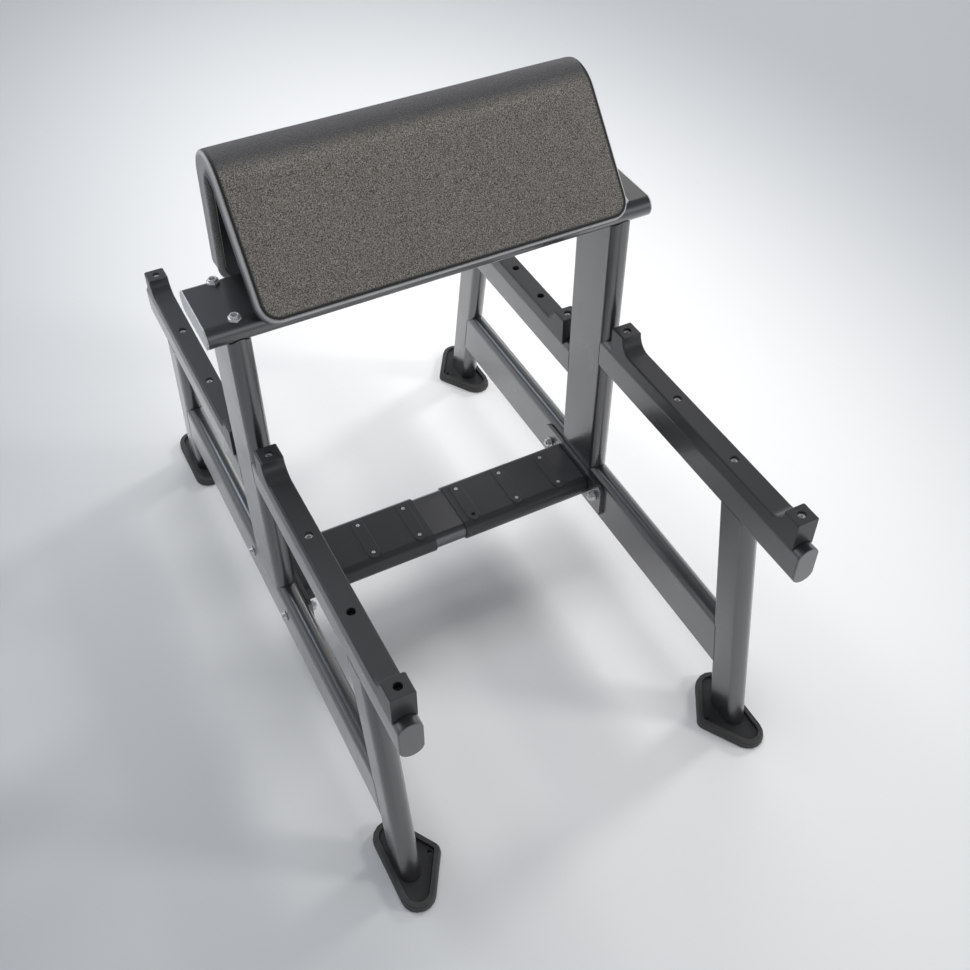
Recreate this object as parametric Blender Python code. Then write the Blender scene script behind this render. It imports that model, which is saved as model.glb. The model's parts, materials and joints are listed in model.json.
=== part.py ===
"""Preacher bench with four bar racks: a welded steel frame, a padded arm rest and a cross brace.

Metres, +Z up. +X runs along the arm pad, the user sits at -Y. The origin is on the floor, midway
between the two side frames and midway between the front and rear feet.
Each side frame is modelled about its own plane, under an empty that stands at that plane.
"""

import math

import bmesh
import bpy
from mathutils import Vector

# Clearances
GAP = 0.0003  # between two pieces that touch
BOLT_FIT = 0.0005  # round a bolt, all round

# Steel tube with flat sides and arched narrow sides
TUBE_WIDTH = 0.040
TUBE_ARCH = 0.0155  # how far the arched side stands out beyond the flat sides
TUBE_WALL = 0.003
ARCH_STEPS = 8
ROUND_STEPS = 12  # sides of a bolt and its hole
SCREW_STEPS = 8  # sides of a screw hole

# Side frames
FRAME_SPREAD = 0.700  # between the centre planes of the two side frames
LEG_DEPTH = 0.080
LEG_LEAN = math.radians(10)
FOOT_SPREAD = 1.160  # front foot centre to rear foot centre
LOWER_RAIL_DEPTH = 0.122
LOWER_RAIL_HEIGHT = 0.1728  # centre line
UPRIGHT_DEPTH = 0.135
TOP_PLATE_THICKNESS = 0.004

# Bar racks, front and rear
RACK_DEPTH = 0.080
FRONT_RACK_HEIGHT = 0.539  # centre line
REAR_RACK_HEIGHT = 0.435
FRONT_RACK_REACH = 0.662  # from the middle of the upright to the closed end
REAR_RACK_REACH = 0.655
END_CAP_THICKNESS = 0.003
END_CAP_SPIGOT = 0.012

# Rack covers
COVER_WIDTH = 0.041
COVER_SKIRT = 0.012  # below the top of the rail
COVER_SADDLE = 0.018  # above the top of the rail
COVER_HORN = 0.048
HORN_LENGTH = 0.037
HORN_FILLET = 0.028
COVER_EDGE = 0.004
FRONT_COVER_START = 0.090  # from the middle of the upright
FRONT_COVER_END = 0.643
REAR_COVER_START = 0.0815
REAR_COVER_END = 0.6265
COVER_HOLE = 0.0075  # radius
COVER_HOLE_DEPTH = 0.014
COVER_HOLE_STEPS = 16
COVER_PITCH = 0.1717
CLOSE_PITCH = 0.109  # the right rear cover has its holes closer together
RACK_SCREW_HOLE = 0.0032  # radius

# Top beam under the arm pad
BEAM_DEPTH = 0.138
BEAM_TOP = 0.869
BEAM_LENGTH = 0.800
BEAM_BOLT_SPREAD = 0.104
BEAM_BOLT_RADIUS = 0.005
BEAM_BOLT_HEAD = 0.0085
BEAM_BOLT_HEAD_HEIGHT = 0.006
WELD_NUT_RADIUS = 0.008
WELD_NUT_HEIGHT = 0.009

# Bolt heads and washers
WASHER_THICKNESS = 0.002
WASHER_RADIUS = 0.0105
SOCKET_RADIUS = 0.0036
SOCKET_DEPTH = 0.0035
HEAD_EDGE = 0.12  # share of the head's radius that its rounded edge takes

# Cross brace with its flanges and covers
BRACE_DEPTH = 0.133
BRACE_HEIGHT = 0.181  # centre line
FLANGE_THICKNESS = 0.008
FLANGE_LENGTH = 0.2345
FLANGE_HEIGHT = 0.076
FLANGE_CORNER = 0.015  # radius of its two upper corners
FLANGE_CORNER_STEPS = 5
FLANGE_BOLT_SPREAD = 0.185
FLANGE_BOLT_RADIUS = 0.005
FLANGE_BOLT_HEAD = 0.0085
FLANGE_BOLT_HEAD_HEIGHT = 0.0065
NUT_RADIUS = 0.0095
NUT_HEIGHT = 0.008
BOLT_TAIL = 0.004
BRACE_COVER_THICKNESS = 0.0035
BRACE_COVER_START = 0.034  # from the middle of the brace
BAR_PLACES = (0.061, 0.1625, 0.2625)
BAR_WIDTH = 0.0265
BAR_HEIGHT = 0.0025
BAR_REAR = 0.048
BAR_FRONT = 0.0575
BAR_SCREW_REAR = 0.0375
BAR_SCREW_FRONT = 0.043
BAR_HOLE = 0.0042  # radius
BAR_HOLE_DEPTH = 0.003
BAR_SCREW_HOLE = 0.0022  # radius

# Arm pad, its board and the brackets inside it
PAD_LENGTH = 0.648
PAD_THICKNESS = 0.040
PAD_TOP = 1.0800
PAD_RIDGE_RADIUS = 0.0685
PAD_RIDGE_PLACE = 0.0702
PAD_FRONT_SLOPE = math.radians(49.2)
PAD_REAR_LEAN = math.radians(5.5)
PAD_FRONT_LENGTH = 0.2163
PAD_REAR_LENGTH = 0.204
PAD_CORNER = 0.032
PAD_EDGE = 0.006
PAD_FRONT_CROWN = 0.003
PAD_REAR_CROWN = 0.0055
PAD_RIDGE_CROWN = 0.7  # share of the front's crown that is left at the end of the ridge
PAD_SIDE_DRAW = 0.0012  # how far the middle of each side is drawn in
PAD_SIDE_EASE = 0.2  # share of that at the edges of the side
PAD_SPANS = 12  # steps across the pad
PAD_EDGE_TURNS = (math.radians(60), math.radians(30))
BOARD_THICKNESS = 0.012
BOARD_PROUD = 0.002
BOARD_MARGIN = 0.013
BRACKET_SPREAD = 0.440
BRACKET_THICKNESS = 0.004
BRACKET_WIDTH = 0.032
BRACKET_BASE = 0.110
BRACKET_FRONT = (0.035, 0.150)  # along the front of the pad, from its lower edge
BRACKET_REAR = (0.075, 0.170)  # along the rear of the pad, from its lower edge
BRACKET_BOLT_SPREAD = 0.070
BRACKET_BOLT_OFFSET = 0.010  # beside the bracket's web
BRACKET_BOLT_RADIUS = 0.004
BRACKET_BOLT_HEAD = 0.0065
BRACKET_BOLT_HEAD_HEIGHT = 0.005
BRACKET_BOLT_TAIL = 0.006

# Feet
FOOT_HEIGHT = 0.0165
FOOT_FLOOR = 0.0045  # rubber below the steel plate
FOOT_TIP_REACH = 0.051  # from the side frame's plane inwards to the centre of the narrow end
FOOT_TIP_RADIUS = 0.018
FOOT_HEEL_OFFSET = 0.004  # outwards to the centres of the two wide corners
FOOT_HEEL_SPREAD = 0.120
FOOT_HEEL_RADIUS = 0.033
FOOT_RIM = 0.010
FOOT_DRAFT = 0.0035
FOOT_STEP = 0.012  # height of the step round the outside
FOOT_LEDGE = 0.0015  # width of that step
FOOT_ROUNDING = 0.0008
FOOT_PLATE_THICKNESS = 0.006
FOOT_HOLE_RADIUS = 0.0042
FOOT_ARC_STEPS = 7

# Places worked out from the sizes above
ARCH_RADIUS = (TUBE_ARCH**2 + (TUBE_WIDTH / 2) ** 2) / (2 * TUBE_ARCH)
SIDE_X = FRAME_SPREAD / 2
FOOT_Y = FOOT_SPREAD / 2
BEAM_BOTTOM = BEAM_TOP - TUBE_WIDTH
PLATE_BOTTOM = BEAM_BOTTOM - GAP - TOP_PLATE_THICKNESS
BEAM_MIDDLE = BEAM_TOP - TUBE_WIDTH / 2
RAIL_TOP = LOWER_RAIL_HEIGHT + LOWER_RAIL_DEPTH / 2
RAIL_END = FOOT_Y - LOWER_RAIL_HEIGHT * math.tan(LEG_LEAN)  # in the middle of the leg, before it is coped
FOOT_PLATE_TOP = FOOT_FLOOR + GAP + FOOT_PLATE_THICKNESS
RAIL_FACE = SIDE_X - TUBE_WIDTH / 2
FLANGE_FACE = RAIL_FACE - GAP - FLANGE_THICKNESS
PAD_RIDGE_HEIGHT = PAD_TOP - PAD_RIDGE_RADIUS

# Finishes: colour, roughness, metallic
FRAME_PAINT = ((0.20, 0.20, 0.21), 0.38, 0.55)
CAP_PAINT = ((0.34, 0.34, 0.35), 0.40, 0.40)
BLACK_PLASTIC = ((0.035, 0.037, 0.040), 0.45, 0.0)
BLACK_PAINT = ((0.030, 0.031, 0.033), 0.42, 0.1)
BLACK_RUBBER = ((0.028, 0.029, 0.030), 0.70, 0.0)
ZINC = ((0.62, 0.62, 0.63), 0.28, 1.0)
PAD_VINYL = ((0.105, 0.096, 0.085), 0.62, 0.0)
BOARD_PAINT = ((0.030, 0.029, 0.028), 0.60, 0.0)

# Names of the two sides and the two ends
SIDES = (("left", -1), ("right", 1))
ENDS = (("front", -1), ("rear", 1))


# Building blocks

def clear_scene():
    """Remove every object the file holds."""
    for obj in list(bpy.data.objects):
        bpy.data.objects.remove(obj, do_unlink=True)


def make_empty(name, place):
    """An empty that carries the pieces of one side frame."""
    empty = bpy.data.objects.new(name, None)
    empty.location = place
    bpy.context.scene.collection.objects.link(empty)
    return empty


def make_object(name, mesh_builder, finish, parent=None, place=(0, 0, 0)):
    """Turn a bmesh into a named object with a material of its own."""
    bmesh.ops.recalc_face_normals(mesh_builder, faces=mesh_builder.faces)
    mesh = bpy.data.meshes.new(name)
    mesh_builder.to_mesh(mesh)
    mesh_builder.free()
    mesh.shade_smooth()
    mesh.set_sharp_from_angle(angle=math.radians(32))
    obj = bpy.data.objects.new(name, mesh)
    obj.location = place
    obj.parent = parent
    bpy.context.scene.collection.objects.link(obj)
    if finish is not None:
        mesh.materials.append(make_material(name, *finish))
    return obj


def make_material(name, colour, roughness, metallic):
    """A Principled material with one colour."""
    material = bpy.data.materials.new(name)
    material.use_nodes = True
    shader = material.node_tree.nodes["Principled BSDF"]
    shader.inputs["Base Color"].default_value = (*colour, 1.0)
    shader.inputs["Roughness"].default_value = roughness
    shader.inputs["Metallic"].default_value = metallic
    return material


def make_cutter(name, mesh_builder, parent=None, place=(0, 0, 0)):
    """A helper that only Boolean modifiers see."""
    cutter = make_object(name, mesh_builder, None, parent, place)
    cutter.hide_render = True
    cutter.display_type = "WIRE"
    return cutter


def boolean(obj, tool, operation="DIFFERENCE"):
    """Cut obj with tool, or join tool to it."""
    modifier = obj.modifiers.new(f"{operation.lower()}_{tool.name}"[:60], "BOOLEAN")
    modifier.operation = operation
    modifier.solver = "EXACT"
    modifier.object = tool


def add_loft(builder, loops, ring=False):
    """Join loops of points, one after another, into a closed skin.

    A ring joins the last loop to the first, as on a pipe. Otherwise both ends are capped."""
    rows = [[builder.verts.new(point) for point in loop] for loop in loops]
    count = len(rows[0])
    pairs = list(zip(rows, rows[1:]))
    if ring:
        pairs.append((rows[-1], rows[0]))
    for lower, upper in pairs:
        for index in range(count):
            after = (index + 1) % count
            builder.faces.new((lower[index], lower[after], upper[after], upper[index]))
    if not ring:
        builder.faces.new(rows[0])
        builder.faces.new(rows[-1])


def loft(loops, ring=False):
    """A new bmesh that holds one loft."""
    builder = bmesh.new()
    add_loft(builder, loops, ring)
    return builder


def circle(radius, count):
    """Points round a circle, anticlockwise."""
    step = 2 * math.pi / count
    return [(radius * math.cos(step * i), radius * math.sin(step * i)) for i in range(count)]


def axis_frame(direction):
    """Two unit vectors square to a direction."""
    direction = Vector(direction).normalized()
    helper = Vector((1, 0, 0)) if abs(direction.x) < 0.9 else Vector((0, 1, 0))
    across = direction.cross(helper).normalized()
    return across, direction.cross(across), direction


def turned_loops(profile, place, direction, count=ROUND_STEPS):
    """Loops round an axis, one for each (distance along the axis, radius) of the profile."""
    across, up, along = axis_frame(direction)
    loops = []
    for distance, radius in profile:
        centre = Vector(place) + along * distance
        loops.append([centre + across * a + up * b for a, b in circle(radius, count)])
    return loops


def add_rod(builder, place, direction, length, radius, count=ROUND_STEPS):
    """A plain round rod."""
    add_loft(builder, turned_loops([(0, radius), (length, radius)], place, direction, count))


def bolt(place, direction, shank, grip, head, head_height, washer=WASHER_RADIUS):
    """A socket-head bolt with its washer.

    Place is where the washer seats, and direction is the way that the shank goes."""
    edge = HEAD_EDGE * head
    base = -WASHER_THICKNESS
    top = base - head_height
    profile = (
        (grip, shank),
        (0, shank),
        (0, washer),
        (base, washer),
        (base, head),
        (top + edge, head),
        (top, head - edge),
        (top, SOCKET_RADIUS),
        (top + SOCKET_DEPTH, SOCKET_RADIUS),
    )
    return loft(turned_loops(profile, place, direction))


def hex_nut(place, direction, radius, height, bore, count=ROUND_STEPS):
    """A hexagon nut with its washer. Place is where the washer seats, direction points away from it."""
    across, up, along = axis_frame(direction)
    top = WASHER_THICKNESS + height
    washer = circle(WASHER_RADIUS, count)
    hexagon = hexagon_points(radius, count)
    hole = circle(bore, count)
    steps = (
        (0, washer),
        (WASHER_THICKNESS, washer),
        (WASHER_THICKNESS, hexagon),
        (top, hexagon),
        (top, hole),
        (0, hole),
    )
    loops = []
    for distance, points in steps:
        centre = Vector(place) + along * distance
        loops.append([centre + across * a + up * b for a, b in points])
    return loft(loops, ring=True)


def hexagon_points(radius, count):
    """Count points spread over the edges of a hexagon whose corners lie on the radius."""
    sector = math.pi / 3
    points = []
    for x, y in circle(1.0, count):
        angle = math.atan2(y, x)
        wedge = (angle + sector / 2) % sector - sector / 2
        reach = radius * math.cos(sector / 2) / math.cos(wedge)
        points.append((reach * x, reach * y))
    return points


# Tube sections

def arched_ends(depth, inset):
    """The two arched ends of a tube's section, each a list of (across, along the depth) points."""
    centre = depth / 2 - ARCH_RADIUS
    reach = ARCH_RADIUS - inset
    spread = math.asin((TUBE_WIDTH / 2 - inset) / reach)
    ends = []
    for sign in (1, -1):
        end = []
        for step in range(ARCH_STEPS + 1):
            angle = sign * spread * (1 - 2 * step / ARCH_STEPS)
            end.append((reach * math.sin(angle), sign * (centre + reach * math.cos(angle))))
        ends.append(end)
    return ends


def tube_section(depth, inset=0.0):
    """The whole outline of a tube's section, anticlockwise."""
    first, second = arched_ends(depth, inset)
    return first + second


def pipe(depth, places):
    """A tube from one end to the other: places turns (across, depth, end number) into a point."""
    outer = tube_section(depth)
    inner = tube_section(depth, TUBE_WALL)
    order = ((outer, 0), (outer, 1), (inner, 1), (inner, 0))
    return loft([[places(a, b, end) for a, b in outline] for outline, end in order], ring=True)


def bar(depth, places, inset=0.0):
    """The same tube as a solid bar, for cutting."""
    outline = tube_section(depth, inset)
    return loft([[places(a, b, end) for a, b in outline] for end in (0, 1)])


def upright_places(low, high):
    """A tube that stands straight up, its depth along Y."""
    return lambda a, b, end: Vector((a, b, (low, high)[end]))


def rail_places(height, start, end_place):
    """A level tube along Y, its depth upright."""
    return lambda a, b, end: Vector((a, (start, end_place)[end], height + b))


def beam_places(height, start, end_place):
    """A level tube along X that lies flat, its depth along Y."""
    return lambda a, b, end: Vector(((start, end_place)[end], b, height + a))


def leg_places(sign, low, high):
    """A leaning leg with level ends. Sign is -1 for the front leg, 1 for the rear leg."""
    along = Vector((0, -sign * math.sin(LEG_LEAN), math.cos(LEG_LEAN)))
    across = Vector((0, math.cos(LEG_LEAN), sign * math.sin(LEG_LEAN)))
    foot = Vector((0, sign * FOOT_Y, 0))

    def place(a, b, end):
        point = foot + Vector((a, 0, 0)) + across * b
        return point + along * (((low, high)[end] - point.z) / along.z)

    return place


# Side frame pieces

def make_side_frame(side, parent):
    """The welded steel tubes of one side. Side is -1 for left, 1 for right."""
    name = "left" if side < 0 else "right"
    rail_cutter = make_cutter(
        f"{name}_rail_cutter",
        bar(LOWER_RAIL_DEPTH, rail_places(LOWER_RAIL_HEIGHT, -RAIL_END, RAIL_END), -GAP),
        parent,
    )
    upright_cutter = make_cutter(
        f"{name}_upright_cutter",
        bar(UPRIGHT_DEPTH, upright_places(0, BEAM_TOP), -GAP),
        parent,
    )
    beam_cutter = make_cutter(
        f"{name}_beam_cutter",
        bar(BEAM_DEPTH, beam_places(BEAM_MIDDLE, -TUBE_WIDTH, TUBE_WIDTH), -GAP),
        parent,
    )

    bolt_cutter = bmesh.new()
    for y in (-FLANGE_BOLT_SPREAD / 2, FLANGE_BOLT_SPREAD / 2):
        start = (-TUBE_WIDTH, y, BRACE_HEIGHT)
        add_rod(bolt_cutter, start, (1, 0, 0), 2 * TUBE_WIDTH, FLANGE_BOLT_RADIUS + BOLT_FIT)
    flange_bolt_holes = make_cutter(f"{name}_flange_bolt_holes", bolt_cutter, parent)

    rail = make_object(
        f"{name}_lower_rail",
        pipe(LOWER_RAIL_DEPTH, rail_places(LOWER_RAIL_HEIGHT, -RAIL_END, RAIL_END)),
        FRAME_PAINT,
        parent,
    )
    boolean(rail, flange_bolt_holes)

    upright = make_object(
        f"{name}_upright",
        pipe(UPRIGHT_DEPTH, upright_places(RAIL_TOP - TUBE_ARCH, BEAM_MIDDLE)),
        FRAME_PAINT,
        parent,
    )
    boolean(upright, rail_cutter)
    boolean(upright, beam_cutter)
    make_top_plate(name, parent)

    for end_name, sign, height, reach in (
        ("front", -1, FRONT_RACK_HEIGHT, FRONT_RACK_REACH),
        ("rear", 1, REAR_RACK_HEIGHT, REAR_RACK_REACH),
    ):
        tube_end = sign * (reach - END_CAP_THICKNESS - GAP)
        underside = height - RACK_DEPTH / 2
        rack_cutter = make_cutter(
            f"{name}_{end_name}_rack_cutter",
            bar(RACK_DEPTH, rail_places(height, 0, sign * (reach + TUBE_WIDTH)), -GAP),
            parent,
        )
        leg_cutter = make_cutter(
            f"{name}_{end_name}_leg_cutter",
            bar(LEG_DEPTH, leg_places(sign, 0, height), -GAP),
            parent,
        )
        leg = make_object(
            f"{name}_{end_name}_leg",
            pipe(LEG_DEPTH, leg_places(sign, FOOT_PLATE_TOP + GAP, underside + TUBE_ARCH)),
            FRAME_PAINT,
            parent,
        )
        boolean(leg, rack_cutter)
        boolean(rail, leg_cutter)
        rack = make_object(
            f"{name}_{end_name}_rack_rail",
            pipe(RACK_DEPTH, rail_places(height, sign * (UPRIGHT_DEPTH / 2 - TUBE_ARCH), tube_end)),
            FRAME_PAINT,
            parent,
        )
        boolean(rack, upright_cutter)
        make_end_cap(f"{name}_{end_name}_rack_end_cap", sign, height, reach, parent)
        make_rack_cover(side, name, end_name, sign, height, rack_cutter, rack, parent)
        make_foot(side, name, end_name, sign, parent)


def make_end_cap(name, sign, height, reach, parent):
    """A plug that closes the outer end of a rack rail."""
    outline = tube_section(RACK_DEPTH)
    edge = tube_section(RACK_DEPTH, END_CAP_THICKNESS / 3)
    spigot = tube_section(RACK_DEPTH, TUBE_WALL + GAP)
    face = reach - END_CAP_THICKNESS
    steps = (
        (edge, reach),
        (outline, reach - END_CAP_THICKNESS / 3),
        (outline, face),
        (spigot, face),
        (spigot, face - END_CAP_SPIGOT),
    )
    loops = [[Vector((a, sign * y, height + b)) for a, b in points] for points, y in steps]
    make_object(name, loft(loops), FRAME_PAINT, parent)


def make_top_plate(name, parent):
    """The plate inside the top of an upright, with the two nuts that are welded under it."""
    outline = tube_section(UPRIGHT_DEPTH, TUBE_WALL + GAP)
    heights = (PLATE_BOTTOM, PLATE_BOTTOM + TOP_PLATE_THICKNESS)
    loops = [[Vector((a, b, z)) for a, b in outline] for z in heights]
    plate = make_object(f"{name}_top_plate", loft(loops), FRAME_PAINT, parent)
    nuts = bmesh.new()
    holes = bmesh.new()
    nut_base = PLATE_BOTTOM - WELD_NUT_HEIGHT
    nut_length = WELD_NUT_HEIGHT + TOP_PLATE_THICKNESS / 2
    hole_radius = BEAM_BOLT_RADIUS + BOLT_FIT
    for y in (-BEAM_BOLT_SPREAD / 2, BEAM_BOLT_SPREAD / 2):
        add_rod(nuts, (0, y, nut_base), (0, 0, 1), nut_length, WELD_NUT_RADIUS)
        add_rod(holes, (0, y, nut_base - TUBE_WALL), (0, 0, 1), 2 * TUBE_WIDTH, hole_radius)
    boolean(plate, make_cutter(f"{name}_weld_nuts", nuts, parent), "UNION")
    boolean(plate, make_cutter(f"{name}_top_plate_holes", holes, parent))


# Rack covers

def cover_profile(start, end):
    """Side view of a rack cover as (distance, height above the rail) points."""
    def horn_side(edge, direction):
        centre = edge + direction * HORN_FILLET
        points = [(edge, COVER_HORN)]
        for step in range(ARCH_STEPS + 1):
            angle = math.pi / 2 * step / ARCH_STEPS
            across = centre - direction * HORN_FILLET * math.cos(angle)
            points.append((across, COVER_SADDLE + HORN_FILLET * (1 - math.sin(angle))))
        return points

    near = horn_side(start + HORN_LENGTH, 1)
    far = horn_side(end - HORN_LENGTH, -1)
    outline = [(start, -COVER_SKIRT), (start, COVER_HORN)] + near + far[::-1]
    return outline + [(end, COVER_HORN), (end, -COVER_SKIRT)]


def cover_holes(start, end, pitch):
    """Hole places along a cover: one in each horn, and between them at the pitch from the inner horn."""
    inner = start + HORN_LENGTH / 2
    outer = end - HORN_LENGTH / 2
    places = [inner]
    while outer - places[-1] > 1.5 * pitch:
        places.append(places[-1] + pitch)
    return places + [outer]


def hole_top(place, holes):
    """Height above the rail of the surface that a hole starts from."""
    return COVER_HORN if place in (holes[0], holes[-1]) else COVER_SADDLE


def make_rack_cover(side, name, end_name, sign, height, rack_cutter, rack, parent):
    """The plastic cover on a rack rail, with its counterbored screw holes."""
    top = height + RACK_DEPTH / 2
    start = FRONT_COVER_START if sign < 0 else REAR_COVER_START
    end = FRONT_COVER_END if sign < 0 else REAR_COVER_END
    pitch = CLOSE_PITCH if side > 0 and sign > 0 else COVER_PITCH
    outline = cover_profile(start, end)
    half = COVER_WIDTH / 2
    builder = loft([[Vector((x, sign * y, top + z)) for y, z in outline] for x in (-half, half)])
    round_cover_edges(builder, top)
    cover = make_object(f"{name}_{end_name}_rack_cover", builder, BLACK_PLASTIC, parent)
    boolean(cover, rack_cutter)

    holes = cover_holes(start, end, pitch)
    wide = bmesh.new()
    narrow = bmesh.new()
    for y in holes:
        seat = top + hole_top(y, holes) - COVER_HOLE_DEPTH
        low = top - 2 * TUBE_WALL
        add_rod(wide, (0, sign * y, seat), (0, 0, 1), 2 * COVER_HOLE_DEPTH, COVER_HOLE, COVER_HOLE_STEPS)
        add_rod(narrow, (0, sign * y, low), (0, 0, 1), seat - low + TUBE_WALL, RACK_SCREW_HOLE, SCREW_STEPS)
    boolean(cover, make_cutter(f"{name}_{end_name}_cover_wide_holes", wide, parent))
    narrow_cutter = make_cutter(f"{name}_{end_name}_cover_narrow_holes", narrow, parent)
    boolean(cover, narrow_cutter)
    boolean(rack, narrow_cutter)


def round_cover_edges(builder, top):
    """Ease the long upper edges of a cover, down in the saddle and over both horns."""
    bmesh.ops.recalc_face_normals(builder, faces=builder.faces)
    level = top + COVER_SADDLE - GAP
    edges = []
    for edge in builder.edges:
        first, second = (vert.co for vert in edge.verts)
        along = abs(first.x - second.x) < GAP
        if along and first.z > level and second.z > level:
            edges.append(edge)
    bmesh.ops.bevel(builder, geom=edges, offset=COVER_EDGE, segments=2, profile=0.6, affect="EDGES")


# Feet

def foot_outline(side, inset):
    """The foot's rounded triangle, as points about the foot's centre. The narrow end points inwards."""
    tip = Vector((-FOOT_TIP_REACH, 0))
    heels = [Vector((FOOT_HEEL_OFFSET, sign * FOOT_HEEL_SPREAD / 2)) for sign in (-1, 1)]
    across = heels[1] - tip
    distance = across.length
    lean = math.atan2(across.y, across.x) + math.asin((FOOT_HEEL_RADIUS - FOOT_TIP_RADIUS) / distance)
    tangent = lean + math.pi / 2
    arcs = (
        (heels[0], FOOT_HEEL_RADIUS, -tangent, 0.0),
        (heels[1], FOOT_HEEL_RADIUS, 0.0, tangent),
        (tip, FOOT_TIP_RADIUS, tangent, 2 * math.pi - tangent),
    )
    points = []
    for centre, radius, start, end in arcs:
        for step in range(FOOT_ARC_STEPS + 1):
            angle = start + (end - start) * step / FOOT_ARC_STEPS
            reach = radius - inset
            x = centre.x + reach * math.cos(angle)
            points.append((side * x, centre.y + reach * math.sin(angle)))
    return points


def make_foot(side, name, end_name, sign, parent):
    """A rubber foot with a raised rim, and the steel plate that the leg is welded to."""
    centre = sign * FOOT_Y
    rim_inner = FOOT_DRAFT + FOOT_RIM
    steps = (
        (rim_inner, FOOT_FLOOR),
        (rim_inner - FOOT_ROUNDING, FOOT_HEIGHT),
        (FOOT_DRAFT + FOOT_ROUNDING, FOOT_HEIGHT),
        (FOOT_DRAFT, FOOT_HEIGHT - FOOT_ROUNDING),
        (FOOT_DRAFT, FOOT_STEP),
        (FOOT_DRAFT - FOOT_LEDGE, FOOT_STEP - FOOT_ROUNDING),
        (FOOT_ROUNDING, FOOT_ROUNDING),
        (2 * FOOT_ROUNDING, 0.0),
    )
    loops = [[Vector((x, centre + y, z)) for x, y in foot_outline(side, inset)] for inset, z in steps]
    foot = make_object(f"{name}_{end_name}_foot", loft(loops), BLACK_RUBBER, parent)

    plate_outline = foot_outline(side, rim_inner + GAP)
    plate_bottom = FOOT_FLOOR + GAP
    plate_loops = []
    for z in (plate_bottom, plate_bottom + FOOT_PLATE_THICKNESS):
        plate_loops.append([Vector((x, centre + y, z)) for x, y in plate_outline])
    plate = make_object(f"{name}_{end_name}_foot_plate", loft(plate_loops), BLACK_PAINT, parent)

    hole = bmesh.new()
    hole_x = -side * (FOOT_TIP_REACH - FOOT_HEEL_OFFSET)
    add_rod(hole, (hole_x, centre, -FOOT_HEIGHT), (0, 0, 1), 3 * FOOT_HEIGHT, FOOT_HOLE_RADIUS)
    cutter = make_cutter(f"{name}_{end_name}_foot_hole", hole, parent)
    boolean(foot, cutter)
    boolean(plate, cutter)


# Top beam

def make_top_beam():
    """The flat beam across the two uprights, its end caps and the four bolts that hold it down."""
    half = BEAM_LENGTH / 2
    beam = make_object("top_beam", pipe(BEAM_DEPTH, beam_places(BEAM_MIDDLE, -half, half)), FRAME_PAINT)
    holes = bmesh.new()
    seat = BEAM_TOP + GAP
    grip = seat - PLATE_BOTTOM + WELD_NUT_HEIGHT
    hole_radius = BEAM_BOLT_RADIUS + BOLT_FIT
    for name, side in SIDES:
        for end_name, sign in ENDS:
            x = side * SIDE_X
            y = sign * BEAM_BOLT_SPREAD / 2
            add_rod(holes, (x, y, BEAM_BOTTOM - TUBE_WALL), (0, 0, 1), 2 * TUBE_WIDTH, hole_radius)
            beam_bolt = bolt(
                (x, y, seat),
                (0, 0, -1),
                BEAM_BOLT_RADIUS,
                grip,
                BEAM_BOLT_HEAD,
                BEAM_BOLT_HEAD_HEIGHT,
            )
            make_object(f"{name}_{end_name}_beam_bolt", beam_bolt, ZINC)
        make_beam_end_cap(name, side, half + GAP, BEAM_MIDDLE)
    for side in (-1, 1):
        for sign in (-1, 1):
            x = side * BRACKET_SPREAD / 2 + BRACKET_BOLT_OFFSET
            y = sign * BRACKET_BOLT_SPREAD / 2
            start = (x, y, BEAM_TOP - 2 * TUBE_WALL)
            add_rod(holes, start, (0, 0, 1), TUBE_WIDTH, BRACKET_BOLT_RADIUS + BOLT_FIT)
    boolean(beam, make_cutter("beam_bolt_holes", holes))


def make_beam_end_cap(name, side, face, height):
    """A pale plug that closes one end of the top beam."""
    outline = tube_section(BEAM_DEPTH)
    edge = tube_section(BEAM_DEPTH, END_CAP_THICKNESS / 3)
    spigot = tube_section(BEAM_DEPTH, TUBE_WALL + GAP)
    steps = (
        (edge, face + END_CAP_THICKNESS),
        (outline, face + 2 * END_CAP_THICKNESS / 3),
        (outline, face),
        (spigot, face),
        (spigot, face - END_CAP_SPIGOT),
    )
    loops = [[Vector((side * x, b, height + a)) for a, b in points] for points, x in steps]
    make_object(f"{name}_beam_end_cap", loft(loops), CAP_PAINT)


# Cross brace

def make_cross_brace():
    """The brace between the lower rails: tube, end flanges, bolts, nuts, and the two covers on top."""
    end = FLANGE_FACE - GAP
    tube = pipe(BRACE_DEPTH, beam_places(BRACE_HEIGHT, -end, end))
    brace = make_object("cross_brace", tube, FRAME_PAINT)
    outer_seat = SIDE_X + TUBE_WIDTH / 2 + GAP
    nut_seat = FLANGE_FACE - GAP
    grip = outer_seat - nut_seat + WASHER_THICKNESS + NUT_HEIGHT + BOLT_TAIL
    tube_holes = bmesh.new()
    for name, side in SIDES:
        make_flange(name, side)
        inwards = (-side, 0, 0)
        for end_name, sign in ENDS:
            y = sign * FLANGE_BOLT_SPREAD / 2
            flange_bolt = bolt(
                (side * outer_seat, y, BRACE_HEIGHT),
                inwards,
                FLANGE_BOLT_RADIUS,
                grip,
                FLANGE_BOLT_HEAD,
                FLANGE_BOLT_HEAD_HEIGHT,
            )
            make_object(f"{name}_{end_name}_flange_bolt", flange_bolt, ZINC)
            place = (side * nut_seat, y, BRACE_HEIGHT)
            nut = hex_nut(place, inwards, NUT_RADIUS, NUT_HEIGHT, FLANGE_BOLT_RADIUS + GAP)
            make_object(f"{name}_{end_name}_flange_nut", nut, ZINC)
        make_brace_cover(name, side, end, tube_holes)
    boolean(brace, make_cutter("brace_screw_holes", tube_holes))


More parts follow.
